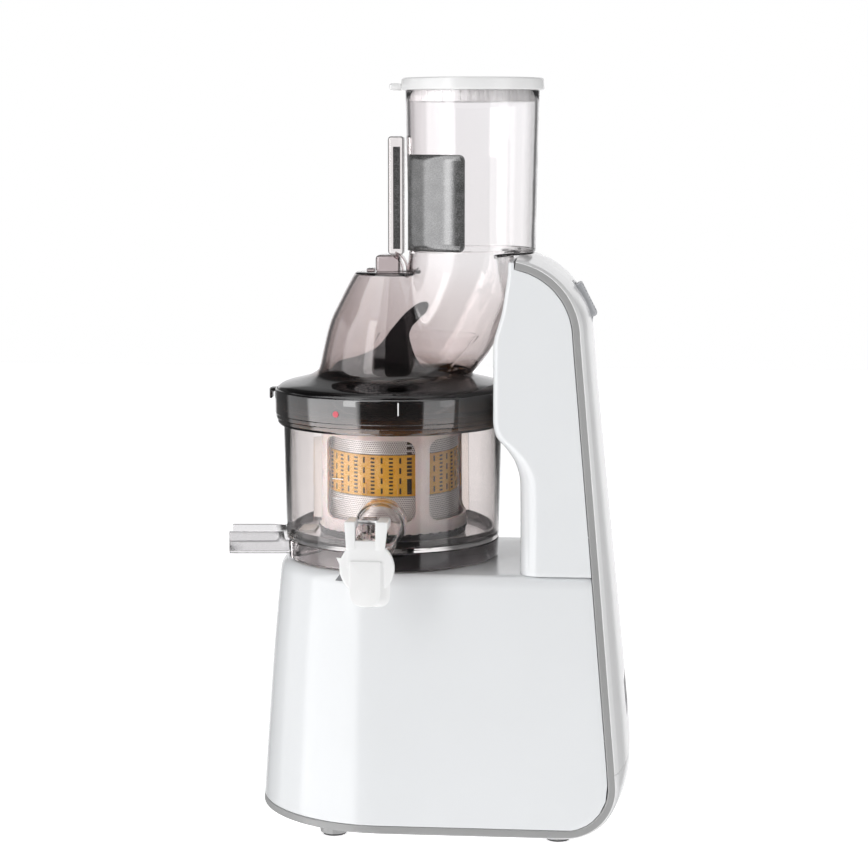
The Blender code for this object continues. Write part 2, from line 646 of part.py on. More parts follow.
def hopper_fittings():
    lid = [(LID_R - 0.001, LID_TOP), (LID_R, LID_TOP - 0.0012), (LID_R, LID_Z), (0.0774, LID_Z),
           (0.0774, LID_TOP)]
    turned("lid_ring", lid, SMOKE, hopper_turn)
    funnel = [(0.0250, 0.3350, 0.0330), (0.0140, 0.3180, 0.0300), (0.0, 0.3010, 0.0300)]
    shape = bmesh.new()
    sheet_rows(shape, [circle(x, 0, z, r, MEDIUM) for x, z, r in funnel], closed=True)
    thicken(from_bmesh("feed_funnel", shape, CLEAR, hopper_turn), 0.0018)
    shape = bmesh.new()
    rows = []
    for z in (CHUTE_Z + 0.001, 0.4580):
        row = []
        for i in range(7):
            t = math.radians(205 + 95 * i / 6)
            r = CHUTE_R1 + 0.0014
            row.append((CHUTE_X + r * math.cos(t), r * math.sin(t), z))
        rows.append(row)
    sheet_rows(shape, rows)
    thicken(from_bmesh("label_plate", shape, LABEL, hopper_turn), 0.0008)
    x = CHUTE_X - CHUTE_R1
    block("chute_grip", (x - 0.0116, -0.0085, CHUTE_Z + 0.001), (x - 0.0008, 0.0085, 0.4700), CLEAR, hopper_turn,
          bevel=0.003)
    block("lid_lug", (-0.0850, -0.0060, 0.2905), (-0.0812, 0.0060, 0.2980), SMOKE, hopper_turn)


def feed_rim():
    lift = empty("rim_lift", (0, 0, 0), hopper_turn)
    inner = CHUTE_R1 - SHELL - 0.0006
    profile = [(RIM_R - 0.001, RIM_TOP), (RIM_R, RIM_TOP - 0.001), (RIM_R, RIM_Z), (inner, RIM_Z),
               (inner, 0.4930), (inner - 0.0016, 0.4930), (inner - 0.0016, RIM_TOP)]
    rim = turned("feed_rim", profile, WHITE, lift, at=(CHUTE_X, 0))
    x = CHUTE_X - RIM_R
    tab = block("rim_tab", (x - 0.0072, -0.0110, RIM_Z), (x + 0.0010, 0.0110, RIM_Z + 0.0045), None, lift)
    boolean(rim, tab, 'UNION')


def juice_cap():
    hinge = empty("cap_axis", (CAP_X, PIN_Y, PIN_Z), bowl_lift)
    down, out = CAP_Z - PIN_Z, CAP_Y - PIN_Y
    plate = rod("juice_cap", CAP_R, (0, out, down), (0, out - 0.0045, down), WHITE, hinge, steps=MEDIUM)
    for side in (-1, 1):
        low, high = sorted((side * 0.0052, side * 0.0130))
        front = block(f"cap_arm_{side}", (low, out - 0.0040, down + 0.010), (high, out - 0.0004, 0.0033), None,
                      hinge)
        boolean(plate, front, 'UNION')
        ear = block(f"cap_ear_{side}", (low, out - 0.0030, -0.0033), (high, 0.0033, 0.0033), None, hinge)
        boolean(plate, ear, 'UNION')
    tongue = block("cap_tongue", (-0.0096, out - 0.0040, down - 0.0224), (0.0096, out - 0.0005, down), None,
                   hinge)
    boolean(plate, tongue, 'UNION')
    slot = rod("cap_bore", 0.0019, (-0.020, 0, 0), (0.020, 0, 0), None, hinge, steps=12)
    boolean(plate, slot)
    seal_low, seal_high = (0, out + GAP, down + 0.0030), (0, out + 0.0050, down + 0.0030)
    rod("cap_seal", 0.0090, seal_low, seal_high, SILICONE, hinge, steps=COARSE)
    rod("cap_hinge_pin", 0.0015, (CAP_X - 0.0125, PIN_Y, PIN_Z), (CAP_X + 0.0125, PIN_Y, PIN_Z), STEEL,
        bowl_lift, steps=12)


lower_housing()
column_shell()
rear_cover()
base_pan()
trim_band()
feet()
switch()
vent_and_electronics()
motor()
gearbox()
juice_bowl()
bowl_fittings()
pulp_spout()
strainer()
auger()
brush()
hopper()
hopper_fittings()
feed_rim()
juice_cap()
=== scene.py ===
import json
import math

import bmesh
import bpy
from mathutils import Matrix, Vector


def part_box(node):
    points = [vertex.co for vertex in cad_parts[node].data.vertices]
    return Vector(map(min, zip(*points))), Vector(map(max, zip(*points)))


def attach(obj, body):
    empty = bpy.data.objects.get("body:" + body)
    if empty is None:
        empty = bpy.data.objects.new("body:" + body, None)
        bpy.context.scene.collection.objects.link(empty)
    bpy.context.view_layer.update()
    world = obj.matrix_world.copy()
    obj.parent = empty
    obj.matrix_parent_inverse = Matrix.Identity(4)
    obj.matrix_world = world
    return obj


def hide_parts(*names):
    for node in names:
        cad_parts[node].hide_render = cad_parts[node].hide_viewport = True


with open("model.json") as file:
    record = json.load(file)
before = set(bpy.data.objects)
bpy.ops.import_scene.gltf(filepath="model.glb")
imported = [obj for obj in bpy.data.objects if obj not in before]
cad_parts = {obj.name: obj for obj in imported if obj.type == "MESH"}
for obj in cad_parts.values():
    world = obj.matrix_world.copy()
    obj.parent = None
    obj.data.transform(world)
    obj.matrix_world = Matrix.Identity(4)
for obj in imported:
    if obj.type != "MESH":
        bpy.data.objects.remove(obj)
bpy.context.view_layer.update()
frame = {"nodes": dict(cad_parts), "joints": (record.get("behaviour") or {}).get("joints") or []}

world = bpy.context.scene.world or bpy.data.worlds.new("studio")
bpy.context.scene.world = world

# Every piece is modelled about the bowl's upright axis and then moved to where the frame has it.
hub = next(joint for joint in frame["joints"] if joint["name"] == "auger_spin")["pos_m"]
toFrame = Matrix.Translation((hub[0], hub[1], 0))
spinParts = 128          # faces round a turned piece


def span(node):
    low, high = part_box(node)
    shift = Vector((hub[0], hub[1], 0))
    return low - shift, high - shift


# small helpers for mesh work

def vertsOf(geom):
    return [g for g in geom if isinstance(g, bmesh.types.BMVert)]


def edgesOf(geom):
    return [g for g in geom if isinstance(g, bmesh.types.BMEdge)]


def mendMesh(bm):
    bmesh.ops.remove_doubles(bm, verts=bm.verts, dist=2e-6)
    bmesh.ops.recalc_face_normals(bm, faces=bm.faces)


def addPiece(name, bm, body, material, slot, stands=(), angle=35, mend=True):
    if mend:
        mendMesh(bm)
    bmesh.ops.transform(bm, matrix=toFrame, verts=bm.verts)
    mesh = bpy.data.meshes.new(name)
    bm.to_mesh(mesh)
    bm.free()
    mesh.shade_smooth()
    mesh.set_sharp_from_angle(angle=math.radians(angle))
    mesh.materials.append(material)
    piece = bpy.data.objects.new(name, mesh)
    bpy.context.scene.collection.objects.link(piece)
    if body:
        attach(piece, body)
    if stands:
        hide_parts(*stands)
    return piece


def addWall(piece, thickness):
    wall = piece.modifiers.new("wall", 'SOLIDIFY')
    wall.thickness = thickness
    wall.offset = -1
    wall.use_even_offset = True
    return piece


def softenEdges(piece, width, segments=3, angle=32):
    soft = piece.modifiers.new("softEdges", 'BEVEL')
    soft.width = width
    soft.segments = segments
    soft.limit_method = 'ANGLE'
    soft.angle_limit = math.radians(angle)
    return piece


def carve(piece, bm, operation='DIFFERENCE'):
    # Cuts or joins a shape, and keeps the result as the piece's own mesh.
    tool = addPiece("tool", bm, None, piece.data.materials[0], None)
    step = piece.modifiers.new("carve", 'BOOLEAN')
    step.operation = operation
    step.solver = 'EXACT'
    step.object = tool
    graph = bpy.context.evaluated_depsgraph_get()
    made = bpy.data.meshes.new_from_object(piece.evaluated_get(graph))
    piece.modifiers.clear()
    piece.data = made
    made.set_sharp_from_angle(angle=math.radians(35))
    bpy.data.objects.remove(tool)
    return piece


def lathe(bm, profile, centre=0):
    # A closed profile of (radius, height) spun about the upright axis at x = centre.
    points = [bm.verts.new((centre + r, 0, z)) for r, z in profile]
    edges = [bm.edges.new(pair) for pair in zip(points, points[1:] + points[:1])]
    bmesh.ops.spin(bm, geom=points + edges, cent=(centre, 0, 0), axis=(0, 0, 1),
                   angle=2 * math.pi, steps=spinParts, use_merge=True)


def rounded(points, radius, steps=4, closed=True):
    # The outline with each corner turned into an arc. radius is one value, or a list with one per point.
    count = len(points)
    result = []
    for i, here in enumerate(points):
        size = radius[i] if isinstance(radius, list) else radius
        inside = closed or 0 < i < count - 1
        if not size or not inside:
            result.append(tuple(here))
            continue
        here = Vector(here)
        before, after = Vector(points[i - 1]) - here, Vector(points[(i + 1) % count]) - here
        half = before.angle(after) / 2
        reach = min(size / math.tan(half), before.length * 0.49, after.length * 0.49)
        a, b = here + before.normalized() * reach, here + after.normalized() * reach
        for k in range(steps + 1):
            f = k / steps
            near = a.lerp(here, f)
            result.append(tuple(near.lerp(here.lerp(b, f), f)))
    return result


def skin(bm, place, across, levels, ring=True):
    # Extrudes a chain or ring of edges from level to level; place(share, level) says where it goes.
    share = bm.verts.layers.float.new("share")
    if ring:
        chain = bmesh.ops.create_circle(bm, segments=across, radius=1)["verts"]
    else:
        chain = [bm.verts.new((i, 0, 0)) for i in range(across + 1)]
        for pair in zip(chain, chain[1:]):
            bm.edges.new(pair)
    for i, vert in enumerate(chain):
        vert[share] = i / across
        vert.co = place(i / across, levels[0])
    first = edges = list({edge for vert in chain for edge in vert.link_edges})
    for level in levels[1:]:
        made = bmesh.ops.extrude_edge_only(bm, edges=edges)["geom"]
        grown = set(vertsOf(made))
        edges = [edge for edge in edgesOf(made) if edge.verts[0] in grown and edge.verts[1] in grown]
        for vert in grown:
            vert.co = place(vert[share], level)
    return first, edges


def roundBox(bm, low, high, radius=0.0, segments=3, turn=None):
    low, high = Vector(low), Vector(high)
    made = bmesh.ops.create_cube(bm, size=1)["verts"]
    bmesh.ops.scale(bm, vec=high - low, verts=made)
    bmesh.ops.translate(bm, vec=(low + high) / 2, verts=made)
    if radius:
        edges = list({edge for vert in made for edge in vert.link_edges})
        out = bmesh.ops.bevel(bm, geom=edges, offset=radius, offset_type='OFFSET', segments=segments,
                              profile=0.5, affect='EDGES', material=-1)
        made = list({v for face in out["faces"] for v in face.verts} | {v for v in made if v.is_valid})
    if turn is not None:
        bmesh.ops.transform(bm, matrix=turn, verts=made)


def fillEnds(bm, *loops):
    for edges in loops:
        bmesh.ops.edgeloop_fill(bm, edges=[edge for edge in edges if edge.is_valid])


def rod(bm, start, end, radius, parts):
    start, end = Vector(start), Vector(end)
    run = end - start
    made = bmesh.ops.create_cone(bm, cap_ends=True, segments=parts, radius1=radius, radius2=radius,
                                 depth=run.length)["verts"]
    turn = Vector((0, 0, 1)).rotation_difference(run).to_matrix().to_4x4()
    bmesh.ops.transform(bm, matrix=Matrix.Translation((start + end) / 2) @ turn, verts=made)


def readTable(table, key):
    # A smooth curve through (key, value) rows whose keys rise.
    keys = [row[0] for row in table]
    if key <= keys[0]:
        return table[0][1]
    if key >= keys[-1]:
        return table[-1][1]
    i = max(n for n in range(len(keys) - 1) if keys[n] <= key)
    k0, k1 = keys[i], keys[i + 1]
    v0, v1 = table[i][1], table[i + 1][1]
    slope = (v1 - v0) / (k1 - k0)

    def lean(n):
        if n == 0 or n == len(keys) - 1:
            return slope
        left = (table[n][1] - table[n - 1][1]) / (keys[n] - keys[n - 1])
        right = (table[n + 1][1] - table[n][1]) / (keys[n + 1] - keys[n])
        return 0 if left * right <= 0 else 2 * left * right / (left + right)

    f = (key - k0) / (k1 - k0)
    a, b = lean(i) * (k1 - k0), lean(i + 1) * (k1 - k0)
    return (2 * f ** 3 - 3 * f ** 2 + 1) * v0 + (f ** 3 - 2 * f ** 2 + f) * a \
        + (3 * f ** 2 - 2 * f ** 3) * v1 + (f ** 3 - f ** 2) * b


def between(low, high, steps):
    return [low + (high - low) * i / steps for i in range(steps + 1)]


# materials

class Wiring:
    # A few words for wiring shader nodes.

    def __init__(self, tree):
        self.tree = tree

    def node(self, kind, **values):
        made = self.tree.nodes.new(kind)
        for key, value in values.items():
            setattr(made, key, value)
        return made

    def feed(self, socket, value):
        # A socket is either wired or set.
        if isinstance(value, bpy.types.NodeSocket):
            self.tree.links.new(value, socket)
        else:
            socket.default_value = value

    def sum(self, operation, *values):
        made = self.node('ShaderNodeMath', operation=operation)
        for socket, value in zip(made.inputs, values):
            self.feed(socket, value)
        return made.outputs[0]

    def split(self, source):
        made = self.node('ShaderNodeSeparateXYZ')
        self.feed(made.inputs[0], source)
        return made.outputs

    def ramp(self, value, stops):
        made = self.node('ShaderNodeValToRGB')
        while len(made.color_ramp.elements) < len(stops):
            made.color_ramp.elements.new(0.5)
        for element, (at, colour) in zip(made.color_ramp.elements, stops):
            element.position = at
            element.color = (*colour, 1)
        self.feed(made.inputs[0], value)
        return made.outputs[0]

    def spread(self, value, low, high, fromLow=0.3, fromHigh=0.7):
        made = self.node('ShaderNodeMapRange')
        for socket, number in zip(made.inputs[1:5], (fromLow, fromHigh, low, high)):
            socket.default_value = number
        self.feed(made.inputs[0], value)
        return made.outputs[0]

    def blend(self, factor, first, second, kind='MIX'):
        made = self.node('ShaderNodeMix', data_type='RGBA', blend_type=kind)
        for name, value in (("Factor", factor), ("A", first), ("B", second)):
            self.feed(made.inputs[name], value)
        return made.outputs["Result"]

    def either(self, factor, first, second):
        made = self.node('ShaderNodeMixShader')
        for socket, value in zip(made.inputs, (factor, first, second)):
            self.feed(socket, value)
        return made.outputs[0]

    def shiny(self):
        # 1 for rays that leave a shiny or clear surface.
        path = self.node('ShaderNodeLightPath')
        return self.sum('MAXIMUM', path.outputs["Is Glossy Ray"], path.outputs["Is Transmission Ray"])

    def through(self, colour):
        made = self.node('ShaderNodeBsdfTransparent')
        made.inputs[0].default_value = (*colour, 1)
        return made.outputs[0]


class Recipe(Wiring):
    def __init__(self, name):
        self.material = bpy.data.materials.new(name)
        self.material.use_nodes = True
        super().__init__(self.material.node_tree)
        self.shader = self.tree.nodes["Principled BSDF"]
        self.surface = self.tree.nodes["Material Output"].inputs["Surface"]
        self.place = self.node('ShaderNodeTexCoord').outputs["Object"]

    def set(self, **values):
        for key, value in values.items():
            self.feed(self.shader.inputs[key.replace("_", " ")], value)

    def mapped(self, **values):
        made = self.node('ShaderNodeMapping')
        for key, value in values.items():
            made.inputs[key].default_value = value
        self.feed(made.inputs["Vector"], self.place)
        return made.outputs[0]

    def noise(self, scale, detail=3.0, stretch=None):
        made = self.node('ShaderNodeTexNoise')
        made.inputs["Scale"].default_value = scale
        made.inputs["Detail"].default_value = detail
        self.feed(made.inputs["Vector"], self.mapped(Scale=stretch) if stretch else self.place)
        return made.outputs["Fac"]

    def bump(self, height, distance):
        made = self.node('ShaderNodeBump')
        made.inputs["Strength"].default_value = 1
        made.inputs["Distance"].default_value = distance
        self.feed(made.inputs["Height"], height)
        self.set(Normal=made.outputs[0])


def grey(value):
    return (value, value, value)


def times(colour, factor):
    return tuple(min(1, c * factor) for c in colour)


def mouldedPlastic(name, colour, roughness, grain=900, depth=0.00001, vary=0.02, coat=0.0):
    # Injection-moulded plastic: faint flow in the colour, fine grain and handling marks in the gloss.
    mix = Recipe(name)
    stops = [(0.35, times(colour, 1 - vary)), (0.65, times(colour, 1 + vary))]
    mix.set(Base_Color=mix.ramp(mix.noise(9, 2), stops),
            Roughness=mix.spread(mix.noise(60, 5), roughness * 0.85, roughness * 1.2),
            IOR=1.5, Coat_Weight=coat, Coat_Roughness=0.04)
    mix.bump(mix.noise(grain, 2), depth)
    return mix.material


def clearPlastic(name, tint, bands=(), roughness=0.03, ior=1.45, along=2, sides=()):
    # Polished clear plastic that lets shadow rays pass. bands gives its colour along one axis, and sides a
    # further one along x; some parts below use them for painted light and shade as well as tint.
    mix = Recipe(name)
    axes = mix.split(mix.place)

    def graded(axis, rows):
        low, high = rows[0][0], rows[-1][0]
        stops = [((at - low) / (high - low), colour) for at, colour in rows]
        return mix.ramp(mix.spread(axes[axis], 0, 1, low, high), stops)

    if bands:
        shade = graded(along, bands)
        if sides:
            shade = mix.blend(1, shade, graded(0, sides), 'MULTIPLY')
    else:
        shade = mix.ramp(mix.noise(14, 2), [(0.3, tint), (0.7, times(tint, 1.02))])
    mix.set(Base_Color=shade, Roughness=mix.spread(mix.noise(45, 4), roughness * 0.5, roughness * 1.6),
            IOR=ior, Transmission_Weight=1.0)
    mix.bump(mix.noise(28, 2), 0.00012)
    shadow = mix.node('ShaderNodeLightPath').outputs["Is Shadow Ray"]
    mix.feed(mix.surface, mix.either(shadow, mix.shader.outputs[0], mix.through(tint)))
    return mix.material


def turnedMetal(name, colour, roughness=0.3):
    mix = Recipe(name)
    lines = mix.noise(35, 4, stretch=(1, 1, 60))
    mix.set(Base_Color=mix.ramp(lines, [(0.3, times(colour, 0.85)), (0.7, colour)]),
            Roughness=mix.spread(lines, roughness * 0.8, roughness * 1.3), Metallic=1.0)
    mix.bump(lines, 0.00004)
    return mix.material


def perforatedSteel(name, radius, pitch=0.00150):
    # Rows of fine round holes set half a step apart, wound round the strainer. The holes are not cut: painted
    # shade makes them dark.
    mix = Recipe(name)
    x, y, z = mix.split(mix.mapped(Location=(-hub[0], -hub[1], 0)))
    cells = round(2 * math.pi * radius / pitch)
    along = mix.sum('MULTIPLY', mix.sum('ARCTAN2', y, x), cells / (2 * math.pi))
    up = mix.sum('MULTIPLY', z, 1 / (pitch * 0.866))
    odd = mix.sum('FRACT', mix.sum('MULTIPLY', mix.sum('FLOOR', up), 0.5))
    across = mix.sum('SUBTRACT', mix.sum('FRACT', mix.sum('ADD', along, odd)), 0.5)
    above = mix.sum('SUBTRACT', mix.sum('FRACT', up), 0.5)
    squares = [mix.sum('MULTIPLY', side, side) for side in (across, above)]
    away = mix.sum('SQRT', mix.sum('ADD', *squares))
    hole = mix.spread(away, 0, 1, 0.28, 0.36)
    metal = mix.ramp(mix.noise(30, 3), [(0.3, (0.68, 0.665, 0.66)), (0.7, (0.84, 0.83, 0.82))])
    # painted shade: the dark colour inside each hole
    mix.set(Base_Color=mix.blend(hole, (0.10, 0.085, 0.08, 1), metal),
            Roughness=mix.spread(hole, 0.6, 0.34, 0, 1), Metallic=mix.spread(hole, 0.0, 0.45, 0, 1))
    mix.bump(hole, 0.00015)
    return mix.material


def speckledFilm(name):
    # Dark grey printed film with a fine mottle.
    mix = Recipe(name)
    grain = mix.noise(1400, 2)
    both = mix.sum('ADD', mix.sum('MULTIPLY', grain, 0.7), mix.sum('MULTIPLY', mix.noise(120, 3), 0.3))
    mix.set(Base_Color=mix.ramp(both, [(0.36, grey(0.045)), (0.5, grey(0.085)), (0.64, grey(0.17))]),
            Roughness=mix.spread(grain, 0.10, 0.18), IOR=1.9)
    mix.bump(grain, 0.00003)
    return mix.material


def milkyPlastic(name, colour, through=0.35, roughness=0.3):
    # Translucent filled plastic that lets some light in.
    mix = Recipe(name)
    mix.set(Base_Color=mix.ramp(mix.noise(25, 3), [(0.3, times(colour, 0.94)), (0.7, colour)]),
            Roughness=mix.spread(mix.noise(70, 4), roughness * 0.8, roughness * 1.2),
            IOR=1.5, Subsurface_Weight=through, Subsurface_Scale=0.004)
    mix.bump(mix.noise(500, 2), 0.00001)
    return mix.material


def softRubber(name, colour, roughness=0.7):
    mix = Recipe(name)
    dust = mix.noise(160, 6)
    worn = tuple(min(1, c * 1.25 + 0.01) for c in colour)
    mix.set(Base_Color=mix.ramp(dust, [(0.35, colour), (0.75, worn)]),
            Roughness=mix.spread(dust, roughness * 0.9, min(1, roughness * 1.1)))
    mix.bump(mix.noise(700, 3), 0.00004)
    return mix.material


def circuitBoard(name):
    mix = Recipe(name)
    tracks = mix.node('ShaderNodeTexBrick')
    for key, value in (("Scale", 160), ("Color1", (0.03, 0.16, 0.07, 1)), ("Color2", (0.04, 0.22, 0.09, 1)),
                       ("Mortar", (0.35, 0.30, 0.12, 1)), ("Vector", mix.place)):
        mix.feed(tracks.inputs[key], value)
    mix.set(Base_Color=tracks.outputs["Color"], Roughness=mix.spread(mix.noise(90), 0.35, 0.6))
    mix.bump(tracks.outputs["Fac"], 0.0001)
    return mix.material


whiteGloss = mouldedPlastic("whiteGloss", (0.855, 0.87, 0.885), 0.16, vary=0.008, coat=0.10)
spineGloss = mouldedPlastic("spineGloss", (0.86, 0.86, 0.865), 0.16, vary=0.008, coat=0.10)
capWhite = mouldedPlastic("capWhite", (0.90, 0.90, 0.90), 0.22, vary=0.008)
trimSilver = mouldedPlastic("trimSilver", (0.36, 0.36, 0.36), 0.34, grain=1500, depth=0.00003, vary=0.04)
matBlack = mouldedPlastic("matBlack", (0.025, 0.025, 0.028), 0.42, grain=1300, depth=0.00004, vary=0.1)
rockerGrey = mouldedPlastic("rockerGrey", (0.55, 0.56, 0.58), 0.33, grain=1500, depth=0.00003, vary=0.03)
fanGrey = mouldedPlastic("fanGrey", (0.33, 0.33, 0.34), 0.4, vary=0.04)
brushIvory = milkyPlastic("brushIvory", (0.80, 0.735, 0.725), 0.3)
augerIvory = milkyPlastic("augerIvory", (0.50, 0.46, 0.44), 0.15)
amberPlastic = milkyPlastic("amberPlastic", (0.80, 0.42, 0.055), 0.2, 0.28)
bladeAmber = milkyPlastic("bladeAmber", (0.75, 0.42, 0.10), 0.3, 0.35)
sealWhite = softRubber("sealWhite", (0.78, 0.78, 0.76), 0.5)
padRubber = softRubber("padRubber", (0.03, 0.03, 0.03), 0.8)
steel = turnedMetal("steel", (0.62, 0.62, 0.62))
copperSteel = turnedMetal("laminations", (0.30, 0.27, 0.25), 0.45)
board = circuitBoard("board")
labelFilm = speckledFilm("labelFilm")
printWhite = softRubber("printWhite", (0.85, 0.85, 0.85), 0.5)
printGrey = softRubber("printGrey", (0.16, 0.16, 0.17), 0.5)
printRed = softRubber("printRed", (0.60, 0.10, 0.13), 0.5)
# painted shade: dark tiles in place of the strainer band's open slots
slotShade = softRubber("slotShade", (0.035, 0.022, 0.012), 0.6)

smoke, smokeDeep = (0.88, 0.845, 0.835), (0.30, 0.265, 0.26)
bowlClear = clearPlastic("bowlClear", smoke)
# painted light and shade: the foot ring's smoky tint is graded across x, lighter on the left and darker to
# the right
footClearShaded = clearPlastic("footClearShaded", smokeDeep, roughness=0.06, along=0,
                         bands=[(-0.070, (0.66, 0.61, 0.61)), (-0.035, (0.60, 0.55, 0.56)),
                                (-0.015, (0.25, 0.235, 0.24)), (0.030, (0.30, 0.285, 0.29))])
seamClear = clearPlastic("seamClear", (0.10, 0.092, 0.095))
# painted shade and light: bands make the shell near-black at its shoulder, then give its smoky tint growing
# lighter up the chute; sides make it darker on the left and brighter to the right
hopperClearShaded = clearPlastic("hopperClearShaded", smoke,
                           bands=[(0.2970, (0.010, 0.008, 0.008)), (0.3060, (0.016, 0.013, 0.012)),
                                  (0.3100, (0.40, 0.34, 0.32)), (0.3200, (0.80, 0.75, 0.74)),
                                  (0.3600, (0.90, 0.865, 0.86)), (0.3850, (0.965, 0.95, 0.95)),
                                  (0.5100, (0.985, 0.975, 0.98))],
                           sides=[(-0.090, (0.70, 0.66, 0.66)), (-0.045, (0.78, 0.745, 0.74)),
                                  (-0.010, (0.88, 0.86, 0.86)), (0.010, (0.985, 0.98, 0.98)),
                                  (0.060, (1, 1, 1))])
# painted shade: the ring's deep smoky tint at its foot darkens to near-black towards its top shoulder
ringClearShaded = clearPlastic("ringClearShaded", smokeDeep, ior=1.85,
                         bands=[(0.2720, (0.36, 0.31, 0.30)), (0.2820, (0.16, 0.13, 0.12)),
                                (0.2900, (0.060, 0.046, 0.042)), (0.2980, (0.030, 0.024, 0.022))])
bossClear = clearPlastic("bossClear", (0.50, 0.43, 0.43))
gripClear = clearPlastic("gripClear", (0.84, 0.80, 0.79))
spoutClear = clearPlastic("spoutClear", (0.86, 0.85, 0.855))
# painted shade: the feed guide's near-black tint stands in for the dark shape seen inside the dome
guideShade = clearPlastic("guideShade", (0.012, 0.010, 0.011), roughness=0.05)
wiperClear = clearPlastic("wiperClear", (0.92, 0.87, 0.83), roughness=0.12, ior=1.2)
lightClear = clearPlastic("lightClear", (0.93, 0.92, 0.92))
funnelClear = clearPlastic("funnelClear", (0.97, 0.96, 0.96), ior=1.005)
steelHoles = perforatedSteel("steelHoles", span("strainer_mesh_lower")[1].x)
print("materials ready")


# housing

housing = {
    "halfWidths": [(0.000, 0.0915), (0.054, 0.0878), (0.119, 0.0829), (0.158, 0.0793), (0.182, 0.0770),
                   (0.300, 0.0710), (0.400, 0.0668)],
    "deck": 0.182, "wall": 0.0028, "gap": 0.0003, "trimFoot": 0.0088, "split": 0.052,
    "bend": (0.0795, 0.3385, 0.0511), "heel": (0.1235, 0.0420, 0.0332),
    "trimWidth": 0.0052, "trimDepth": 0.0026,
    "deckEdge": (0.0060, 0.0085),      # across, down
}
halfWidths = housing["halfWidths"]
deckHeight = housing["deck"]


def halfWidth(z):
    return readTable(halfWidths, z)


def spinePath():
    # From the column's top front, over the shoulder and down the spine to the underside: x, z, outward x, z.
    bendX, bendZ, bendR = housing["bend"]
    heelX, heelZ, heelR = housing["heel"]
    points = []
    for degrees in between(80.5, 1, 30):
        t = math.radians(degrees)
        points.append((bendX + bendR * math.cos(t), bendZ + bendR * math.sin(t)))
    top, foot = points[-1], (heelX + heelR, heelZ + 0.004)
    points += [tuple(Vector(top).lerp(Vector(foot), f)) for f in between(0, 1, 20)[1:-1]]
    for degrees in between(4, -90, 28):
        t = math.radians(degrees)
        points.append((heelX + heelR * math.cos(t), heelZ + heelR * math.sin(t)))
    path = []
    for i, (x, z) in enumerate(points):
        before, after = points[max(i - 1, 0)], points[min(i + 1, len(points) - 1)]
        run = Vector((after[0] - before[0], after[1] - before[1])).normalized()
        path.append((x, z, -run.y, run.x))
    return path


path = spinePath()
trimInner = sorted((z - nz * housing["trimWidth"], x - nx * housing["trimWidth"]) for x, z, nx, nz in path)


def rearEdge(z):
    low = max([row for row in trimInner if row[0] <= z] or trimInner[:1])
    high = min([row for row in trimInner if row[0] >= z] or trimInner[-1:])
    if high[0] == low[0]:
        return low[1]
    return low[1] + (high[1] - low[1]) * (z - low[0]) / (high[0] - low[0])


def lowerHousing():
    across, down = housing["deckEdge"]
    foot = housing["trimFoot"] + housing["trimWidth"] + housing["gap"]
    levels = [(z, 0.0) for z in (foot, 0.0155, 0.018, 0.021, 0.026, 0.034, 0.045, 0.060, 0.080, 0.100,
                                 0.120, 0.140, 0.155, deckHeight - down)]
    for degrees in between(0, 90, 10)[1:]:
        t = math.radians(degrees)
        levels.append((deckHeight - down + down * math.sin(t), across * (1 - math.cos(t))))
    levels += [(deckHeight, inset) for inset in (0.020, 0.040, 0.060, 1.0)]

    def place(share, level):
        z, inset = level
        r = max(halfWidth(z) - inset, 0)
        back = rearEdge(z) - housing["gap"]
        if share < 0.2 or share > 0.8:
            far = 1 - share / 0.2 if share < 0.2 else (share - 0.8) / 0.2
            return Vector((back * far, r if share < 0.5 else -r, z))
        t = math.pi / 2 + math.pi * (share - 0.2) / 0.6
        return Vector((r * math.cos(t), r * math.sin(t), z))

    bm = bmesh.new()
    skin(bm, place, 100, levels, ring=False)
    piece = addPiece("lowerHousing", bm, "base", whiteGloss, "white_housing", ["lower_housing"], angle=50)
    addWall(piece, housing["wall"])
    softenEdges(piece, 0.0004, 2)


columnFront = {
    "face": [(0.182, 0.0917), (0.200, 0.0917), (0.235, 0.0914), (0.245, 0.0910), (0.256, 0.0882),
             (0.265, 0.0828), (0.275, 0.0752), (0.285, 0.0735), (0.335, 0.0735), (0.346, 0.0762),
             (0.356, 0.0790), (0.365, 0.0804), (0.373, 0.0816), (0.380, 0.0825), (0.3885, 0.0830)],
    "corner": [(0.182, 0.0150), (0.240, 0.0150), (0.262, 0.0100), (0.282, 0.0045), (0.350, 0.0035),
               (0.400, 0.0030)],
    "hollow": 0.084,     # radius of the cradle round the bowl
}


def columnShell():
    levels = [deckHeight + housing["gap"]] + between(0.186, 0.236, 10) + between(0.240, 0.290, 25)
    levels += between(0.295, 0.335, 6) + between(0.340, 0.384, 16) + [0.3862, 0.3885]

    def place(share, z):
        side = 1 if share < 0.5 else -1
        s = share if share < 0.5 else 1 - share
        r, back, x = halfWidth(z), rearEdge(z) - housing["gap"], readTable(columnFront["face"], z)
        corner = min(readTable(columnFront["corner"], z), (back - x) * 0.7)
        if s < 0.2:
            return Vector((back + (x + corner - back) * s / 0.2, side * r, z))
        if s < 0.34:
            t = math.pi / 2 * (s - 0.2) / 0.14
            return Vector((x + corner * (1 - math.sin(t)), side * (r - corner * 0.8 * (1 - math.cos(t))), z))
        y = (r - corner * 0.8) * (0.5 - s) / 0.16
        cradle = math.sqrt(max(columnFront["hollow"] ** 2 - y ** 2, 0))
        return Vector((max(x, cradle), side * y, z))

    bm = bmesh.new()
    skin(bm, place, 100, levels, ring=False)
    piece = addPiece("columnShell", bm, "base", whiteGloss, "white_housing", ["column_shell"], angle=60)
    addWall(piece, housing["wall"])
    softenEdges(piece, 0.0005, 2)


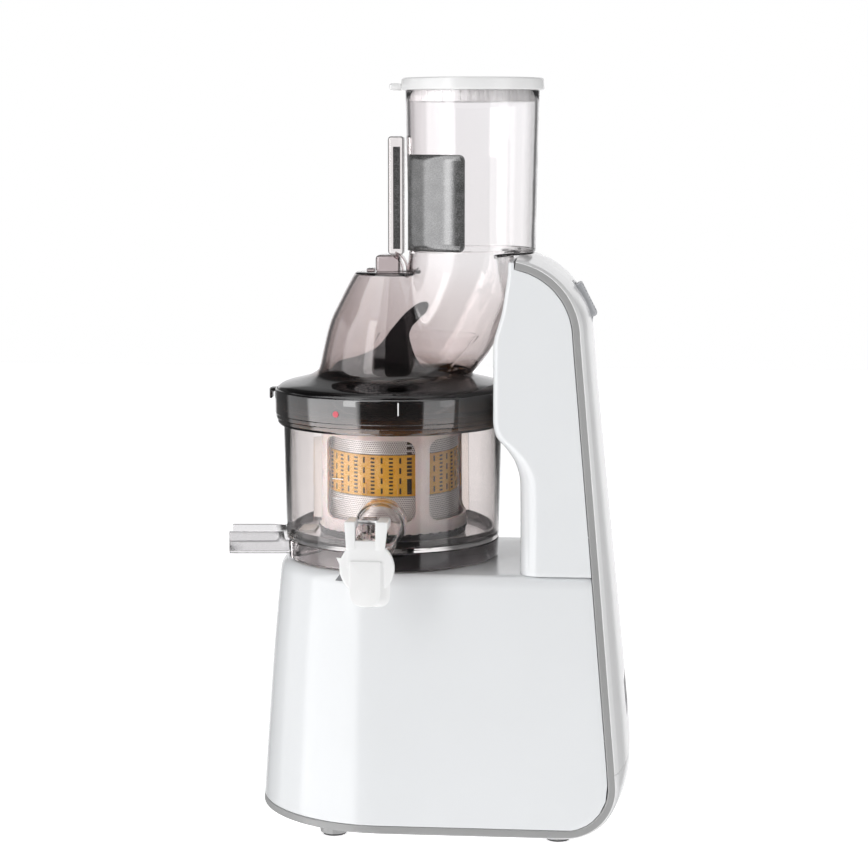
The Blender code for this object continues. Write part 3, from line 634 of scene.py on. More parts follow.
cover = {
    "bulge": [(0.0, 0.0005), (0.010, 0.0012), (0.040, 0.0070), (0.055, 0.0085), (0.300, 0.0058),
              (0.350, 0.0055), (0.372, 0.0030), (0.400, 0.0008)],      # how far the middle swells, by height
    "proud": 0.0012, "proudTop": 0.0011,      # past the trim's line
    "lip": 0.965, "lipDrop": 0.0012, "wall": 0.0014, "panWall": 0.0012,
    "floor": [(x,) for x in (0.100, 0.050, 0.0, -0.020, -0.040, -0.055, -0.066, -0.076, -0.082, -0.0855)],
}


def coverPoint(share, step):
    x, z, nx, nz = step
    r = halfWidth(z)
    y = r * (1 - 2 * share)
    f = abs(y) / r
    bendZ, bendR = housing["bend"][1:]
    rise = cover["proudTop"] if z > bendZ + bendR * 0.9 else cover["proud"]
    rise += readTable(cover["bulge"], z) * (1 - f ** 2.6)
    if f > cover["lip"]:
        rise -= cover["lipDrop"] * ((f - cover["lip"]) / (1 - cover["lip"])) ** 2
    return Vector((x + nx * rise, y, z + nz * rise))


def rearPanels():
    split = housing["split"]
    above = [step for step in path if step[1] > split + 0.001]
    below = [step for step in path if step[1] < split - 0.001]
    last, following = above[-1], below[0]
    f = (last[1] - split) / (last[1] - following[1])
    joint = [a + (b - a) * f for a, b in zip(last, following)]
    top = list(joint)
    top[1] += housing["gap"]
    bm = bmesh.new()
    skin(bm, coverPoint, 48, above + [top], ring=False)
    piece = addPiece("rearCover", bm, "base", spineGloss, "white_housing", ["rear_cover"], angle=55)
    addWall(piece, cover["wall"])
    for cutter in (switchRecess(), ventRecess()):
        carve(piece, cutter)
    softenEdges(piece, 0.0003, 2)

    def under(share, step):
        if len(step) == 4:
            return coverPoint(share, step)
        x = step[0]
        rim = halfWidth(0) - housing["trimDepth"] - 0.0015
        y = rim * (1 - 2 * share) * math.sqrt(max(rim ** 2 - min(x, 0) ** 2, 0)) / rim
        return Vector((x, y, housing["trimFoot"] - 0.0012))

    bm = bmesh.new()
    skin(bm, under, 48, [joint] + below + cover["floor"], ring=False)
    pan = addPiece("basePan", bm, "base", spineGloss, "white_housing", ["base_pan"], angle=55)
    addWall(pan, cover["panWall"])
    softenEdges(pan, 0.0003, 2)


def trimBand():
    width, depth = housing["trimWidth"], housing["trimDepth"]
    foot = housing["trimFoot"]
    section = rounded([(0, 0), (width, 0), (width, -depth), (0, -depth)], 0.0011, 4)
    steps = []
    for x, z, nx, nz in path:
        steps.append((Vector((x, halfWidth(z), z)), Vector((-nx, 0, -nz)), Vector((0, 1, 0))))
    for x in (0.100, 0.070, 0.035, 0.010):
        steps.append((Vector((x, halfWidth(foot), foot)), Vector((0, 0, 1)), Vector((0, 1, 0))))
    for t in between(math.pi / 2, math.pi, 32)[1:]:
        out = Vector((math.cos(t), math.sin(t), 0))
        steps.append((out * halfWidth(foot) + Vector((0, 0, foot)), Vector((0, 0, 1)), out))
    flip = Matrix.Diagonal((1, -1, 1))
    steps += [(flip @ a, flip @ b, flip @ c) for a, b, c in reversed(steps[:-1])]

    def place(share, step):
        inward, out = section[round(share * len(section)) % len(section)]
        point = step[0] + step[1] * inward + step[2] * out
        lean = halfWidth(point.z) - halfWidth(step[0].z)
        return point + step[2] * lean

    bm = bmesh.new()
    fillEnds(bm, *skin(bm, place, len(section), steps))
    addPiece("trimBand", bm, "base", trimSilver, "silver_trim", ["trim_band"], angle=60)


switch = {
    "x": 0.1283, "z": 0.3580, "tilt": math.radians(63), "long": 0.0306, "wide": 0.0226, "gap": 0.0002,
    "bezelDepth": (-0.0052, 0.0035), "bezelWall": 0.0021, "rocker": (0.0125, 0.0086), "rockerTop": 0.0074,
    "grooves": 9, "groovePitch": 0.0024, "grooveRadius": 0.0009, "grooveHeight": 0.00779,
}
switchTurn = Matrix.Translation((switch["x"], 0, switch["z"])) @ Matrix.Rotation(switch["tilt"], 4, 'Y')


def switchRecess():
    half, wide = switch["long"] / 2 + switch["gap"], switch["wide"] / 2 + switch["gap"]
    bm = bmesh.new()
    roundBox(bm, (-half, -wide, -0.012), (half, wide, 0.020), 0.004, 4, switchTurn)
    return bm


def ventRecess():
    bm = bmesh.new()
    low, high = span("vent_grille")
    roundBox(bm, low - Vector((0.016, 0.0006, 0.0005)), high + Vector((0.02, 0.0006, 0.0005)), 0.003, 4)
    return bm


def switchPieces():
    half, wide, wall = switch["long"] / 2, switch["wide"] / 2, switch["bezelWall"]
    low, high = switch["bezelDepth"]
    bm = bmesh.new()
    roundBox(bm, (-half, -wide, low), (half, wide, high), 0.0030, 4, switchTurn)
    bezel = addPiece("switchBezel", bm, "base", rockerGrey, "grey_plastic", ["switch_bezel"])
    bm = bmesh.new()
    roundBox(bm, (-half + wall, -wide + wall, -0.02), (half - wall, wide - wall, 0.02), 0.002, 4, switchTurn)
    carve(bezel, bm)
    softenEdges(bezel, 0.0005)

    long, across = switch["rocker"]
    bm = bmesh.new()
    roundBox(bm, (-long, -across, 0.0004), (long, across, switch["rockerTop"]), 0.0014, 4, switchTurn)
    rocker = addPiece("rockerSwitch", bm, "rocker", rockerGrey, "grey_plastic", ["rocker_switch"])
    last = switch["groovePitch"] * (switch["grooves"] - 1) / 2
    for x in between(-last, last, switch["grooves"] - 1):      # grooves, sunk deeper towards both ends
        z = switch["grooveHeight"] - 0.00016 * (x / last) ** 2
        bm = bmesh.new()
        ends = [switchTurn @ Vector((x, y, z)) for y in (-0.0075, 0.0075)]
        rod(bm, *ends, switch["grooveRadius"], 16)
        carve(rocker, bm)


lowerHousing()
columnShell()
rearPanels()
trimBand()
switchPieces()
print("housing ready")


# bowl set

bowl = {
    "foot": 0.1953, "floor": 0.1980, "top": 0.2850, "low": 0.0735, "high": 0.0755, "wall": 0.0025,
    "bore": 0.0100, "sleeve": (0.0125, 0.2120),      # radius and top of the tube round the shaft
    "ticks": (0.2446, 0.2315), "tickTurn": math.radians(-113.3),
    "outlet": [(-0.0722, 0.0005, 0.2165, 0.0165), (-0.0800, 0.0005, 0.2165, 0.0165),
               (-0.0900, 0.0004, 0.2162, 0.0163), (-0.0940, 0.0000, 0.2150, 0.0158),
               (-0.0965, -0.0008, 0.2125, 0.0150), (-0.0980, -0.0018, 0.2080, 0.0140),
               (-0.0992, -0.0030, 0.2030, 0.0130), (-0.1030, -0.0040, 0.1995, 0.0122),
               (-0.1085, -0.0045, 0.1974, 0.0116)],      # y, x, z and radius of each ring
    "outletWall": 0.0020,
    "seal": [(0.0708, 0.2032), (0.0706, 0.1984), (0.0688, 0.1984), (0.0690, 0.2032)],      # radius, height
    "latch": [(0.0046, (-0.1058, 0.2085), (-0.0985, 0.2248), 0.0012),
              (0.0012, (-0.1062, 0.2090), (-0.0990, 0.2225), 0.0004)],      # half width, y and z, corner
}


def onWall(radius, turn, z):
    # Local x runs round the wall, y inwards and z up.
    return Matrix.Translation((radius * math.cos(turn), radius * math.sin(turn), z)) \
        @ Matrix.Rotation(turn + math.pi / 2, 4, 'Z')


def bowlRadius(z):
    return bowl["low"] + (bowl["high"] - bowl["low"]) * (z - bowl["foot"]) / (bowl["top"] - bowl["foot"])


def juiceBowl():
    wall = bowl["wall"]
    tube, tall = bowl["sleeve"]
    corners = [(bowl["high"], bowl["top"]), (bowl["low"], bowl["foot"]), (bowl["bore"], bowl["foot"]),
               (bowl["bore"], tall), (tube, tall), (tube, bowl["floor"]), (bowl["low"] - wall, bowl["floor"]),
               (bowl["high"] - wall, bowl["top"])]
    bm = bmesh.new()
    lathe(bm, rounded(corners, [0.0008, 0.0010, 0.0006, 0.0006, 0.0006, 0.0010, 0.0025, 0.0008]))
    addPiece("juiceBowl", bm, "bowl", bowlClear, "smoke_clear", ["juice_bowl"])
    bm = bmesh.new()
    lathe(bm, rounded(bowl["seal"], 0.0005, 2))
    addPiece("floorSeal", bm, "bowl", seamClear, "smoke_clear")


def juiceOutlet():
    def place(share, level):
        y, x, z, r = level
        t = 2 * math.pi * share
        point = Vector((x + r * math.cos(t), y, z + r * math.sin(t)))
        if level is bowl["outlet"][0]:
            point.y = -math.sqrt(bowlRadius(point.z) ** 2 - point.x ** 2) - 0.0001
        return point

    bm = bmesh.new()
    skin(bm, place, 72, bowl["outlet"])
    piece = addPiece("outletHousing", bm, "bowl", bowlClear, "smoke_clear", angle=60)
    addWall(piece, bowl["outletWall"])
    softenEdges(piece, 0.0003, 2)

    bm = bmesh.new()
    left, right = span("juice_cap")
    middle = (left.x + right.x) / 2
    for half, low, high, corner in bowl["latch"]:
        roundBox(bm, (middle - half, *low), (middle + half, *high), corner)
    addPiece("capLatch", bm, "bowl", lightClear, "clear")


def pointer(name, body, material, slot, radius, matrix):
    bm = bmesh.new()
    bmesh.ops.create_cone(bm, cap_ends=True, segments=3, radius1=radius, radius2=radius, depth=0.0003)
    bmesh.ops.transform(bm, verts=bm.verts, matrix=matrix)
    addPiece(name, bm, body, material, slot)


def bowlMarks():
    bm = bmesh.new()
    for z in bowl["ticks"]:
        roundBox(bm, (-0.0042, -0.0002, -0.0003), (0.0042, 0.0002, 0.0003), 0.0,
                 turn=onWall(bowlRadius(z) + 0.0002, bowl["tickTurn"], z))
    addPiece("levelTicks", bm, "bowl", printWhite, "silicone")
    pointer("bowlArrow", "bowl", printWhite, "silicone", 0.0031,
            onWall(bowl["low"] + 0.0001, math.radians(-113), 0.1896)
            @ Matrix.Rotation(math.pi / 2, 4, 'X') @ Matrix.Rotation(math.pi, 4, 'Z'))
    pointer("baseArrow", "base", printGrey, "dark_plastic", 0.0040,
            onWall(0.0773, math.radians(-111), 0.1784) @ Matrix.Rotation(math.radians(66), 4, 'X'))


spout = {"tip": -0.1125, "root": -0.0470, "half": 0.0160, "low": 0.1846, "inside": 0.1947, "rim": 0.2003,
         "wall": 0.0022, "turn": math.radians(5)}


def bowlFoot():
    low = span("bowl_foot_ring")[0].z
    bm = bmesh.new()
    lathe(bm, rounded([(0.0735, 0.1950), (0.0729, low), (0.0685, low), (0.0685, 0.1950)],
                      [0.0004, 0.0016, 0.0006, 0.0004]))
    ring = addPiece("bowlFootRing", bm, "bowl", footClearShaded, "smoke_clear", ["bowl_foot_ring"])
    bm = bmesh.new()
    roundBox(bm, (-0.085, -0.0175, low - 0.003), (-0.055, 0.0175, 0.1993),
             turn=Matrix.Rotation(spout["turn"], 4, 'Z'))
    carve(ring, bm)
    bm = bmesh.new()
    lathe(bm, rounded([(0.0753, 0.2884), (0.0753, 0.2855), (0.0733, 0.2855), (0.0733, 0.2884)], 0.0006))
    addPiece("bowlRimSeal", bm, "bowl", sealWhite, "silicone", ["bowl_rim_seal"])


def pulpSpout():
    half, tall = spout["half"], spout["rim"]
    levels = [(spout["root"], spout["inside"]), (-0.0740, spout["inside"]), (-0.0752, tall)] \
        + [(x, tall) for x in (-0.085, -0.1, spout["tip"])]

    def section(top):
        corners = [(-half, top), (-half, spout["low"]), (half, spout["low"]), (half, top)]
        return rounded(corners, 0.003, closed=False)

    count = len(section(tall)) - 1

    def place(share, level):
        x, top = level
        return Vector((x, *section(top)[round(share * count)]))

    bm = bmesh.new()
    skin(bm, place, count, levels, ring=False)
    bmesh.ops.rotate(bm, cent=(0, 0, 0), matrix=Matrix.Rotation(spout["turn"], 3, 'Z'), verts=bm.verts)
    channel = addPiece("pulpSpout", bm, "bowl", spoutClear, "clear", ["pulp_spout"])
    addWall(channel, spout["wall"])
    softenEdges(channel, 0.0005)


strainer = {"radius": 0.0458, "inside": 0.0450, "columns": 46, "wideTurn": math.radians(-70),
            "frame": (0.0478, 0.0463), "footHoop": 0.0045, "topHoop": 0.0030, "posts": 4}


def strainerSleeves():
    r0, r1 = strainer["radius"], strainer["inside"]
    for name, node, material, slot in (("strainerMeshLower", "strainer_mesh_lower", steelHoles, "steel_mesh"),
                                       ("strainerMeshUpper", "strainer_mesh_upper", steelHoles, "steel_mesh"),
                                       ("strainerBand", "strainer_band", amberPlastic, "amber")):
        low, high = span(node)
        bm = bmesh.new()
        lathe(bm, rounded([(r0, high.z), (r0, low.z), (r1, low.z), (r1, high.z)], 0.00025, 2))
        addPiece(name, bm, "bowl", material, slot, [node])


def strainerSlots():
    # Dark tiles set into the band as painted shade where its slots would open: one column of wide slots, then
    # small and long ones by turns.
    low, high = span("strainer_band")
    bm = bmesh.new()
    pitch = 2 * math.pi / strainer["columns"]
    for i in range(strainer["columns"]):
        turn = strainer["wideTurn"] + pitch * i
        rows = []
        if i == 0:
            rows = [(0.0017, z - 0.0009, z + 0.0009) for z in between(high.z - 0.0025, low.z + 0.0145, 4)]
            rows += [(0.0017, z - 0.0009, z + 0.0009) for z in between(high.z + 0.0012, high.z + 0.0150, 4)]
            rows += [(0.0016, low.z + 0.0012, low.z + 0.0115)]
        elif i % 2 == 0:
            rows = [(0.00135, z - 0.0006, z + 0.0006) for z in between(low.z + 0.0022, high.z - 0.0022, 9)]
        else:
            rows = [(0.00065, z - 0.0019, z + 0.0019) for z in between(low.z + 0.0035, high.z - 0.0035, 3)]
        for half, bottom, top in rows:
            roundBox(bm, (-half, -0.00012, bottom), (half, 0.0003, top),
                     turn=onWall(strainer["radius"], turn, 0))
    addPiece("strainerSlots", bm, "bowl", slotShade, "dark_plastic")


def strainerFrame():
    bm = bmesh.new()
    base, crown = span("strainer_frame")
    r0, r1 = strainer["frame"]
    for bottom, top in ((base.z, base.z + strainer["footHoop"]), (crown.z - strainer["topHoop"], crown.z)):
        lathe(bm, rounded([(r0, top), (r0, bottom), (r1, bottom), (r1, top)], 0.0004, 2))
    for i in range(strainer["posts"]):
        roundBox(bm, (-0.0012, 0.0, base.z + 0.004), (0.0012, 0.0012, crown.z - 0.0025), 0.0003, 2,
                 onWall(r0 - 0.0001, brush["postTurn"] + 2 * math.pi / strainer["posts"] * i, 0))
    addPiece("strainerFrame", bm, "bowl", lightClear, "clear", ["strainer_frame"])
    bm = bmesh.new()
    lathe(bm, rounded([(0.0690, 0.2800), (0.0690, 0.2775), (0.0480, 0.2745), (0.0462, 0.2745),
                       (0.0462, 0.2820), (0.0480, 0.2820)], 0.0005, 2))
    addPiece("strainerRim", bm, "bowl", amberPlastic, "amber")


brush = {"radius": 0.0512, "low": 0.2036, "high": 0.2700, "sill": 0.2120, "lintel": 0.2665, "window": 0.0322,
         "corner": 0.0066, "postTurn": math.radians(299), "teeth": 40, "bladeTurn": math.radians(25),
         "hooks": 14, "hookTurn": -106}


def brushFrame():
    bm = bmesh.new()
    r = brush["radius"]
    lathe(bm, rounded([(r, brush["high"]), (r - 0.0004, brush["low"]), (r - 0.0024, brush["low"]),
                       (r - 0.0020, brush["high"])], 0.0005, 2))
    holder = addPiece("brushFrame", bm, "brush", brushIvory, "ivory_plastic", ["brush_frame"])
    for i in range(2):      # each cut goes right through, and makes two windows
        turn = Matrix.Rotation(brush["postTurn"] + math.pi / 4 + math.pi / 2 * i, 4, 'Z')
        bm = bmesh.new()
        roundBox(bm, (-0.06, -brush["window"], brush["sill"]), (0.06, brush["window"], brush["lintel"]),
                 brush["corner"], 6, turn)
        carve(holder, bm)
    softenEdges(holder, 0.0004, 2)


def brushGear():
    bm = bmesh.new()
    lathe(bm, rounded([(0.0505, 0.2030), (0.0505, 0.1990), (0.0490, 0.1990), (0.0490, 0.2030)], 0.0004, 2))
    for i in range(brush["teeth"]):
        made = bmesh.ops.create_uvsphere(bm, u_segments=8, v_segments=5, radius=1)["verts"]
        bmesh.ops.scale(bm, vec=(0.0025, 0.0009, 0.0013), verts=made)
        bmesh.ops.transform(bm, verts=made, matrix=onWall(0.0506, 2 * math.pi * i / brush["teeth"], 0.2030))
    addPiece("brushGear", bm, "brush", matBlack, "dark_plastic", ["brush_gear"])


def wiperBlades():
    for i in range(2):
        node = f"wiper_blade_{i + 1}"
        low, high = span(node)
        turn = brush["bladeTurn"] + math.pi * i
        bm = bmesh.new()
        roundBox(bm, (-0.0005, -0.0056, low.z), (0.0005, 0.0, high.z), 0.0002, 2,
                 onWall(brush["radius"] + 0.0004, turn, 0))
        addPiece(f"wiperBlade{i + 1}", bm, "brush", wiperClear, "amber", [node])


def strainerHooks():
    bm = bmesh.new()
    for i in range(brush["hooks"]):
        turn = math.radians(brush["hookTurn"] + 360 / brush["hooks"] * i)
        roundBox(bm, (-0.0004, -0.0009, 0.2290), (0.0004, -0.0002, 0.2375), 0.0002, 2,
                 onWall(0.0469, turn, 0))
    addPiece("strainerHooks", bm, "bowl", bladeAmber, "amber")


press = {"foot": 0.0300, "taper": 0.0150, "ridge": 0.0418, "turns": 1.6}


def pressAuger():
    low, high = span("auger")

    def place(share, f):
        t = 2 * math.pi * share
        core = press["foot"] - press["taper"] * f
        ridge = max(0.0, math.cos(t - 2 * math.pi * press["turns"] * f)) ** 3
        r = core + (press["ridge"] - core) * ridge * (1 - f ** 4)
        return Vector((r * math.cos(t), r * math.sin(t), low.z + (high.z - low.z) * f))

    bm = bmesh.new()
    fillEnds(bm, *skin(bm, place, 96, between(0, 1, 64)))
    addPiece("auger", bm, "auger", augerIvory, "ivory_plastic", ["auger"], angle=60)


juiceBowl()
juiceOutlet()
bowlMarks()
bowlFoot()
pulpSpout()
strainerSleeves()
strainerSlots()
strainerFrame()
brushFrame()
brushGear()
wiperBlades()
strainerHooks()
pressAuger()
print("bowl set ready")


# hopper

hopper = {
    "dome": [(0.2979, 0.0791), (0.2985, 0.0791), (0.3002, 0.0782), (0.3022, 0.0749), (0.3049, 0.0644),
             (0.3070, 0.0574), (0.3116, 0.0507), (0.3244, 0.0476), (0.3438, 0.0426), (0.3600, 0.0350),
             (0.3733, 0.0280), (0.3772, 0.0257)],
    "neck": [(0.3080, 0.0140, 0.0400), (0.3132, 0.0182, 0.0404), (0.3250, 0.0270, 0.0402),
             (0.3440, 0.0365, 0.0402), (0.3600, 0.0445, 0.0402), (0.3783, 0.0515, 0.0412),
             (0.3913, 0.0543, 0.0428)],      # height, centre and radius
    "crown": [(0.3779, 0.0250), (0.3783, 0.0238), (0.3785, 0.0215), (0.3786, 0.0190), (0.3787, 0.0160)],
    "middle": 0.0150,      # the rings are measured out from here until the dome closes
    "chute": 0.0547, "chuteLow": 0.0432, "chuteHigh": 0.0454, "seat": 0.3928, "top": 0.5005, "wall": 0.0025,
    "cradle": 0.0834, "clear": 0.3902,
}
guide = {
    "left": [(0.3085, -0.0385), (0.3120, -0.0385), (0.3190, -0.0330), (0.3240, -0.0180), (0.3300, -0.0060),
             (0.3420, 0.0035), (0.3530, 0.0130), (0.3570, 0.0185), (0.3590, 0.0225)],
    "right": [(0.3085, 0.0340), (0.3120, 0.0290), (0.3160, 0.0245), (0.3220, 0.0200), (0.3300, 0.0168),
              (0.3380, 0.0150), (0.3430, 0.0165), (0.3480, 0.0215), (0.3530, 0.0258), (0.3570, 0.0268),
              (0.3590, 0.0255)],
}


def hopperShell():
    neckX = [(z, x) for z, x, r in hopper["neck"]]
    neckR = [(z, r) for z, x, r in hopper["neck"]]
    lowest = hopper["neck"][0][0]

    def reach(away, radius, turn):
        return away * math.cos(turn) + math.sqrt(max(radius ** 2 - (away * math.sin(turn)) ** 2, 0))

    def place(share, level):
        z, dome, blend, neck, middle = level
        t = 2 * math.pi * share
        x, r = neck
        r = reach(x - middle, r, t)
        if z < hopper["clear"]:          # kept inside the column's cradle, so that the hopper can turn
            limit = reach(-middle, hopper["cradle"], t)
            r = (r + limit - math.sqrt((r - limit) ** 2 + 0.002 ** 2)) / 2
        if dome:
            d = reach(-middle, dome, t)
            r = (r + d + math.sqrt((r - d) ** 2 + blend ** 2)) / 2 if z > lowest else d
        return Vector((middle + r * math.cos(t), r * math.sin(t), z))

    def neckAt(z):
        return readTable(neckX, z), readTable(neckR, z)

    levels = []
    heights = [0.2979, 0.2985, 0.2994, 0.3002, 0.3010, 0.3018, 0.3028, 0.3038, 0.3049, 0.3058, 0.3068, 0.3080,
               0.3095, 0.3116, 0.3140] + between(0.317, 0.374, 26) + [0.3757, 0.3772]
    centre = hopper["middle"]
    for z in heights:
        blend = 0.0035 * min(1, (z - lowest) / 0.01) * min(1, (0.3790 - z) / 0.01) if z > lowest else 0
        levels.append((z, readTable(hopper["dome"], z), blend, neckAt(z), centre))
    levels += [(z, dome, 0.0008, neckAt(z), centre) for z, dome in hopper["crown"]]
    closed = hopper["crown"][-1][0]
    levels += [(z, 0, 0, neckAt(z), centre + (z - closed) * 2.4) for z in between(0.3795, 0.3922, 12)]
    chute, low, high = hopper["chute"], hopper["chuteLow"], hopper["chuteHigh"]
    levels.append((0.3927, 0, 0, (chute, low - 0.0003), 0.0490))
    levels += [(z, 0, 0, (chute, low), chute - 0.004) for z in (0.3929, 0.3933)]
    for z in between(0.396, hopper["top"], 14):
        f = (z - hopper["seat"]) / (hopper["top"] - hopper["seat"])
        levels.append((z, 0, 0, (chute, low + (high - low) * f), chute))
    bm = bmesh.new()
    skin(bm, place, 144, levels)
    shell = addPiece("hopperShell", bm, "hopper", hopperClearShaded, "smoke_clear", ["hopper_shell"], angle=180)
    addWall(shell, hopper["wall"])
    softenEdges(shell, 0.0005, 2, 60)


lidLow, lidHigh = span("lid_ring")
funnel = {"rings": [(0.3020, 0.0005, 0.0298), (0.3080, 0.0055, 0.0298), (0.3180, 0.0140, 0.0300),
                    (0.3270, 0.0200, 0.0318), (0.3350, 0.0250, 0.0330)],      # height, centre and radius
          "wall": 0.0016}
boss = {"block": ((-0.0106, -0.0110, 0.3780), (0.0060, 0.0110, 0.3898)),
        "step": ((-0.0172, -0.0060, 0.3782), (-0.0118, 0.0060, 0.3806)),
        "ribs": (0.0085, 0.0115), "ribCentre": (-0.0010, -0.0060, 0.3795), "ribSection": (0.0045, 0.0009)}
label = {"from": math.radians(206), "to": math.radians(268), "corner": 0.0040, "proud": 0.0014,
         "wall": 0.0006, "reach": 0.0466}
marks = {"dotTurn": math.radians(-111.7), "dotHeight": 0.2885, "dotRadius": 0.0021,
         "tickTurn": math.radians(-81.5), "tickHeights": (0.2885, 0.2970)}


def lidRing():
    r, low, high = lidHigh.x, lidLow.z, lidHigh.z
    profile = [(0.0794, high + 0.0016, 0.0006), (r, high + 0.0004, 0.0012), (r, low + 0.0092, 0.0006),
               (r - 0.0005, low + 0.0088, 0.0002), (r - 0.0005, low + 0.0062, 0.0003),
               (r - 0.0012, low + 0.0058, 0.0003), (r - 0.0014, low + 0.0034, 0.0006),
               (r - 0.0024, low + 0.0016, 0.0006), (0.0775, low + 0.0016, 0.0004),
               (0.0775, high - 0.0014, 0.0004), (0.0794, high - 0.0004, 0.0002)]      # radius, height, corner
    bm = bmesh.new()
    lathe(bm, rounded([(x, z) for x, z, corner in profile], [corner for x, z, corner in profile], 3))
    addPiece("lidRing", bm, "hopper", ringClearShaded, "smoke_clear", ["lid_ring"])


def feedFunnel():
    def place(share, level):
        z, x, radius = level
        t = 2 * math.pi * share
        return Vector((x + radius * math.cos(t), radius * math.sin(t), z))

    bm = bmesh.new()
    skin(bm, place, 96, funnel["rings"])
    piece = addPiece("feedFunnel", bm, "hopper", funnelClear, "clear", ["feed_funnel"], angle=60)
    addWall(piece, funnel["wall"])


def feedGuide():
    def place(share, z):
        # just inside the dome, low on the left and rising to a tip under the chute
        left, right = readTable(guide["left"], z), readTable(guide["right"], z)
        x = left + (right - left) * share
        radius = readTable(hopper["dome"], z) - 0.0045
        return Vector((x, -math.sqrt(max(radius ** 2 - x ** 2, 0.0001)), z))

    bm = bmesh.new()
    skin(bm, place, 24, between(0.3085, 0.3590, 40), ring=False)
    addWall(addPiece("feedGuide", bm, "hopper", guideShade, "smoke_clear", angle=180), 0.0012)


def domeBoss():
    bm = bmesh.new()
    roundBox(bm, *boss["block"], 0.0026, 4)
    roundBox(bm, *boss["step"], 0.0011, 3)
    addPiece("domeBoss", bm, "hopper", bossClear, "clear")

    half, thick = boss["ribSection"]
    section = [(-half, 0), (half, 0), (half, thick), (-half, thick)]

    def place(share, level):
        t, size = level
        y, out = section[round(share * 4) % 4]
        point = Vector(((size + out) * math.sin(t), y, (size + out) * math.cos(t) * 1.1))
        return point + Vector(boss["ribCentre"])

    bm = bmesh.new()
    for size in boss["ribs"]:
        skin(bm, place, 4, [(t, size) for t in between(math.radians(20), math.radians(95), 10)])
    bmesh.ops.holes_fill(bm, edges=bm.edges, sides=4)
    addPiece("bossRibs", bm, "hopper", bossClear, "clear")


def chuteGrip():
    low, high = span("chute_grip")
    low.z = 0.3900
    bm = bmesh.new()
    roundBox(bm, low, high, 0.0024, 4)
    addPiece("chuteGrip", bm, "hopper", gripClear, "clear", ["chute_grip"])
    bm = bmesh.new()
    roundBox(bm, (low.x + 0.0038, low.y - 0.0005, low.z + 0.004),
             (high.x - 0.0022, low.y - 0.0001, high.z - 0.007))
    addPiece("gripStrip", bm, "hopper", labelFilm, "grey_film")


def labelPlate():
    low, high = span("label_plate")
    end, corner = label["to"], label["corner"]

    def place(share, t):
        away = (end - t) * label["reach"]
        cut = corner - math.sqrt(max(corner ** 2 - (corner - away) ** 2, 0)) if away < corner else 0
        z = low.z + cut + (high.z - low.z - 2 * cut) * share
        r = hopper["chuteHigh"] + label["proud"]
        return Vector((hopper["chute"] + r * math.cos(t), r * math.sin(t), z))

    bm = bmesh.new()
    turns = between(label["from"], end - 0.09, 20) + between(end - 0.08, end - 0.0005, 8)
    skin(bm, place, 12, turns, ring=False)
    addWall(addPiece("labelPlate", bm, "hopper", labelFilm, "grey_film", ["label_plate"]), label["wall"])


def lidFittings():
    low, high = span("lid_lug")
    bm = bmesh.new()
    roundBox(bm, (low.x, low.y, high.z - 0.0028), high, 0.0008)
    roundBox(bm, (low.x, low.y, low.z), (low.x + 0.0018, high.y, high.z - 0.0005), 0.0007)
    addPiece("lidLug", bm, "hopper", ringClearShaded, "smoke_clear", ["lid_lug"])

    bm = bmesh.new()
    rod(bm, (0, -0.0001, 0), (0, 0.0006, 0), marks["dotRadius"], 24)
    bmesh.ops.transform(bm, verts=bm.verts,
                        matrix=onWall(lidHigh.x + 0.0002, marks["dotTurn"], marks["dotHeight"]))
    addPiece("lidDot", bm, "hopper", printRed, "dark_plastic")
    low, high = marks["tickHeights"]
    bm = bmesh.new()
    roundBox(bm, (-0.0004, -0.0001, low), (0.0004, 0.0004, high),
             turn=onWall(lidHigh.x + 0.0001, marks["tickTurn"], 0))
    addPiece("lidTick", bm, "hopper", printWhite, "silicone")


rim = {"outer": 0.0486, "skirt": 0.4930, "skirtWall": 0.0016, "ribs": 44}


def feedRim():
    low, high = span("feed_rim")
    outer, inner = rim["outer"], hopper["chuteHigh"] - hopper["wall"] - 0.0006
    skirt, inside = rim["skirt"], inner - rim["skirtWall"]
    collar = hopper["top"] + 0.0003
    bm = bmesh.new()
    lathe(bm, rounded([(outer - 0.0006, high.z), (outer, collar), (inner, collar), (inner, skirt),
                       (inside, skirt), (inside, high.z)],
                      [0.0016, 0.0012, 0.0004, 0.0004, 0.0004, 0.0014], 4), centre=hopper["chute"])
    piece = addPiece("feedRim", bm, "rim", capWhite, "white_housing", ["feed_rim"])
    bm = bmesh.new()
    left = hopper["chute"] - outer
    roundBox(bm, (low.x, -0.0110, collar), (left + 0.0012, 0.0110, collar + 0.0045), 0.0018, 4)
    carve(piece, bm, 'UNION')
    bm = bmesh.new()
    for i in range(rim["ribs"]):
        turn = 2 * math.pi * i / rim["ribs"]
        matrix = Matrix.Translation((hopper["chute"], 0, 0)) @ onWall(inner, turn, 0)
        roundBox(bm, (-0.0013, -0.00035, skirt + 0.0004), (0.0013, 0.0008, collar - 0.0002),
                 0.0003, 2, matrix)
    addPiece("rimRibs", bm, "rim", capWhite, "white_housing")


